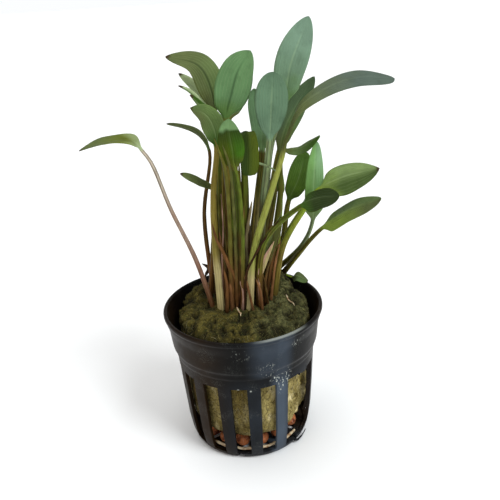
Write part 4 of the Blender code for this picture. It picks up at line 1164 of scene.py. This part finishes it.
OLD_STALKS = [
    ("red_stalk", 0.75, [(-0.4, -4.6, 49.4), (-1.7, -5.0, 60.7), (-4.4, -5.8, 69.6), (-7.0, -6.0, 76.8),
        (-7.9, -6.2, 81.8)]),
    ("rust", 0.6, [(-1.4, -3.4, 49.4), (-3.2, -3.2, 62.5), (-5.3, -3.0, 70.6), (-6.0, -2.6, 77.5)]),
    ("dry_pink", 0.34, [(-6.5, -3.0, 49.3), (-5.9, -2.8, 66.9), (-4.8, -2.6, 76.4), (-4.4, -2.6, 86.6),
        (-4.4, -2.6, 90.3)]),
    ("green_stalk", 0.6, [(-0.7, -2.8, 49.5), (-0.6, -2.6, 66.4), (-1.2, -2.2, 77.0), (-2.4, -2.2, 88.0),
        (-2.4, -2.4, 96.0)]),
    ("brown_stalk", 0.5, [(-2.5, -2.6, 49.5), (-2.9, -2.2, 66.4), (-3.1, -1.9, 78.4), (-3.2, -1.9, 89.3)]),
    ("golden_stalk", 0.4, [(-3.8, -2.0, 49.4), (-3.9, -1.8, 66.3), (-4.1, -1.6, 77.0), (-4.0, -1.6, 87.9),
        (-3.5, -2.2, 98.5)]),
    ("olive_stalk", 0.45, [(-5.5, -2.2, 49.3), (-4.8, -2.0, 63.6), (-5.6, -2.0, 74.4), (-5.5, -2.2, 84.9),
        (-4.8, -2.6, 97.5)]),
    ("grey_stalk", 0.95, [(2.3, -2.2, 49.5), (2.3, -2.0, 65.2), (2.5, -1.8, 73.8), (4.0, -1.8, 81.3),
        (5.2, -1.8, 87.0)]),
    ("rust", 0.45, [(0.3, -2.2, 49.5), (1.1, -2.0, 66.0), (1.7, -2.0, 76.7), (2.6, -2.0, 85.6)]),
    ("golden_stalk", 0.4, [(3.3, -1.0, 49.5), (4.1, -0.6, 65.2), (5.1, -0.4, 76.5), (6.2, -0.2, 85.0),
        (6.9, 0.0, 91.3)]),
    ("crown", 0.5, [(0.3, -6.4, 49.3), (2.1, -8.0, 65.1), (4.3, -8.6, 69.8), (7.4, -9.2, 75.3),
        (10.7, -9.8, 80.0), (13.5, -11.6, 84.5)]),
    ("crown", 0.42, [(-1.7, -5.4, 49.3), (1.0, -5.6, 62.2), (3.0, -4.8, 67.1), (3.0, -3.4, 71.5)]),
    ("rust", 0.45, [(3.6, -7.4, 49.2), (1.8, -7.2, 60.4), (0.8, -6.6, 64.5), (0.2, -6.2, 70.1)]),
    ("brown_stalk", 0.5, [(4.6, -4.0, 49.4), (5.9, -4.4, 60.2), (7.9, -4.6, 65.2), (10.7, -4.6, 70.0),
        (13.5, -4.2, 72.8)]),
    ("olive_brown", 0.55, [(7.4, -2.6, 49.3), (8.5, -2.8, 61.4), (10.4, -2.6, 67.0), (13.0, -2.2, 73.1),
        (14.6, -1.6, 78.4)]),
    ("rust", 0.6, [(9.5, -1.4, 49.3), (11.2, -1.6, 61.4), (12.5, -1.6, 67.9), (14.0, -1.4, 72.7)]),
    ("sheath", 0.22, [(6.7, -5.0, 49.2), (5.5, -5.4, 59.9), (4.3, -5.6, 62.3)]),
    ("dry_pink", 0.55, [(-0.2, -6.6, 49.3), (0.4, -6.8, 57.7), (-0.4, -6.4, 61.3)]),
    ("rust", 0.6, [(6.5, -6.4, 49.1), (6.0, -6.6, 57.9), (4.9, -6.2, 61.5)]),
    ("rust", 0.8, [(-3.5, -5.0, 49.3), (-3.5, -5.0, 59.0), (-2.5, -4.4, 63.8)]),
    ("red_stalk", 0.7, [(-5.5, -5.2, 49.2), (-4.8, -5.2, 59.2), (-5.4, -4.6, 65.2)]),
    ("brown_stalk", 0.5, [(8.7, -3.8, 49.1), (7.9, -3.8, 58.2), (7.1, -3.2, 62.5)]),
    ("olive_stalk", 0.75, [(0.7, -2.2, 66.2), (1.3, -2.4, 78.3), (1.5, -2.4, 86.1), (1.7, -2.6, 93.8),
        (1.9, -2.8, 100.2)]),
    ("olive_brown", 0.5, [(-1.6, -1.2, 65.9), (-1.2, -1.2, 76.6), (-1.2, -1.4, 86.0), (-1.0, -1.6, 94.3),
        (-0.6, -1.8, 99.2)]),
    ("olive_stalk", 0.9, [(-3.4, -4.2, 49.3), (-2.9, -5.4, 67.9), (-2.5, -7.2, 78.0), (-2.2, -9.2, 87.0),
        (-2.2, -11.2, 95.6), (-2.5, -12.8, 101.3), (-3.3, -13.4, 105.1), (-4.2, -13.6, 108.2),
        (-4.9, -13.4, 110.4)]),
    ("olive_brown", 0.75, [(-1.9, -4.8, 49.3), (-1.2, -5.8, 67.9), (-0.8, -7.4, 78.0), (-0.7, -9.2, 86.9),
        (-0.7, -11.2, 95.5), (-0.9, -12.8, 101.2), (-1.6, -13.4, 104.7), (-2.5, -13.6, 107.7),
        (-3.4, -13.5, 110.0)]),
    ("green_stalk", 0.75, [(-0.1, -6.0, 49.2), (1.0, -7.0, 68.3), (1.6, -8.5, 78.2), (1.7, -10.0, 86.4),
        (1.5, -11.5, 93.3), (1.1, -12.8, 98.0), (0.5, -13.4, 101.3), (-0.0, -13.6, 104.0)]),
    ("pale_stalk", 0.38, [(6.9, -6.6, 100.7), (9.0, -6.6, 100.0), (11.5, -6.3, 98.6), (13.4, -5.6, 97.2)]),
]
for name, (places, radius) in ROOTLETS.items():
    plan = smooth_path(np.array(places))
    share = np.linspace(0, 1, len(plan))
    lift = plug_height(*plan.T) + ROOTLET_LIFT + 0.25 * np.sin(9 * share)
    points, faces = lofted(threaded(np.column_stack([plan, lift]), radius * (1 - 0.7 * (2 * share - 1) ** 4)))
    new_piece(name, points, faces, root_skin, "root")
for number, (name, shape) in enumerate(DRY_LEAVES.items()):
    new_leaf(name, [], 40 + number, number, **shape)
skins, tints = [], []
for number, (name, radius, places) in enumerate(OLD_STALKS):
    share = np.linspace(0, 1, OLD_STALK_RINGS)
    path = places_along(smooth_path(np.array(places)), share)
    thick = radius * (1 - 0.35 * share) * (1 - share**6) ** 0.5 * (1 + 0.2 * cloud(path, 2.0, 80 + number))
    points, faces = lofted(threaded(path, np.maximum(thick, OLD_STALK_THINNEST)))
    skins.append((points, faces))
    colours = PAINTS[name] * (1 + 0.5 * cloud(points * (1, 1, 0.2), 0.7, 85, 2)[:, None])
    if name in REDDENED:
        redder = PAINTS["red_stalk"] * (1 + 0.5 * cloud(points, 0.9, 86)[:, None])
        colours = blended(colours, redder, (76 - points[:, 2]) / 20)
    # Painted shade: each old stalk darkens to a third of its colour towards the felt, in the crowded crown.
    tints.append(blended(colours, colours * 0.3, np.exp(-(points[:, 2] - BURIED) / 7)))
starts = np.cumsum([0] + [len(points) for points, _ in skins])
faces = [block + start for start, (_, blocks) in zip(starts, skins) for block in blocks]
old_stalks = new_piece("old_stalks", np.vstack([points for points, _ in skins]), faces, leaf_skin, "leaf")
paint(old_stalks, "leaf_colour", np.vstack(tints))

# The floor, the light and the camera
# A pale sweep of floor, three broad soft lights (cool from the right, from above, and a faint warm one from
# the left), and the camera where the photograph was taken from: above the pot, looking down at it.
CAMERA_PLACE = (0.0, -184.4, 147.1)
CAMERA_YAW = 1.14
CAMERA_PITCH = 22.86
CAMERA_ROLL = -3.58
CAMERA_LENS = 43.2
FLOOR_REACH = 40000.0
SOFT_LIGHTS = (
    ("window", (0.55, -0.45, 0.85), 24, 1.9, (0.94, 0.98, 1.0)),
    ("overhead", (-0.1, 0.15, 1.0), 50, 1.2, (1.0, 1.0, 0.98)),
    ("warm_fill", (-0.9, -0.6, 0.45), 60, 0.35, (1.0, 0.86, 0.7)),
)
SKY_BAND = (0.2, 0.5)
SKY_STRENGTH = (1.02, 0.32)
SKY_TINT = (250, 252, 255)
FLOOR_TINT = (250, 250, 250)

floor_finish = Finish("pale floor")
floor_finish.feed(floor_finish.shader, {"Base Color": rgb(FLOOR_TINT), "Roughness": 0.9})
floor_mesh = bpy.data.meshes.new("floor")
corners = np.array([(-1, -1, 0), (1, -1, 0), (1, 1, 0), (-1, 1, 0)]) * FLOOR_REACH * MM
floor_mesh.from_pydata(corners.tolist(), [], [(0, 1, 2, 3)])
floor_mesh.materials.append(floor_finish.material)
added("floor", floor_mesh)
for name, source, spread, strength, tint in SOFT_LIGHTS:
    lamp = bpy.data.lights.new(name, "SUN")
    lamp.angle = radians(spread)
    lamp.energy = strength
    lamp.color = tint
    added(name, lamp).rotation_euler = Vector(source).to_track_quat("Z", "Y").to_euler()
world = bpy.data.worlds.new("pale room")
world.use_nodes = True
sky = world.node_tree.nodes
links = world.node_tree.links
background = sky["Background"]
background.inputs["Color"].default_value = rgb(SKY_TINT)
direction = sky.new("ShaderNodeSeparateXYZ")
links.new(sky.new("ShaderNodeTexCoord").outputs["Generated"], direction.inputs[0])
fade = sky.new("ShaderNodeMapRange")
for key, value in zip(("From Min", "From Max", "To Min", "To Max"), SKY_BAND + SKY_STRENGTH):
    fade.inputs[key].default_value = value
links.new(direction.outputs["Z"], fade.inputs["Value"])
links.new(fade.outputs["Result"], background.inputs["Strength"])
bpy.context.scene.world = world
bpy.context.scene.view_settings.view_transform = "Standard"
lens = bpy.data.cameras.new("photo view")
lens.lens = CAMERA_LENS
lens.sensor_width = 36.0
lens.clip_start = 0.01
camera = added("photo view", lens)
camera.matrix_world = (
    Matrix.Translation([side * MM for side in CAMERA_PLACE])
    @ Matrix.Rotation(radians(-CAMERA_YAW), 4, "Z")
    @ Matrix.Rotation(radians(90 - CAMERA_PITCH), 4, "X")
    @ Matrix.Rotation(radians(CAMERA_ROLL), 4, "Z")
)
bpy.context.scene.camera = camera
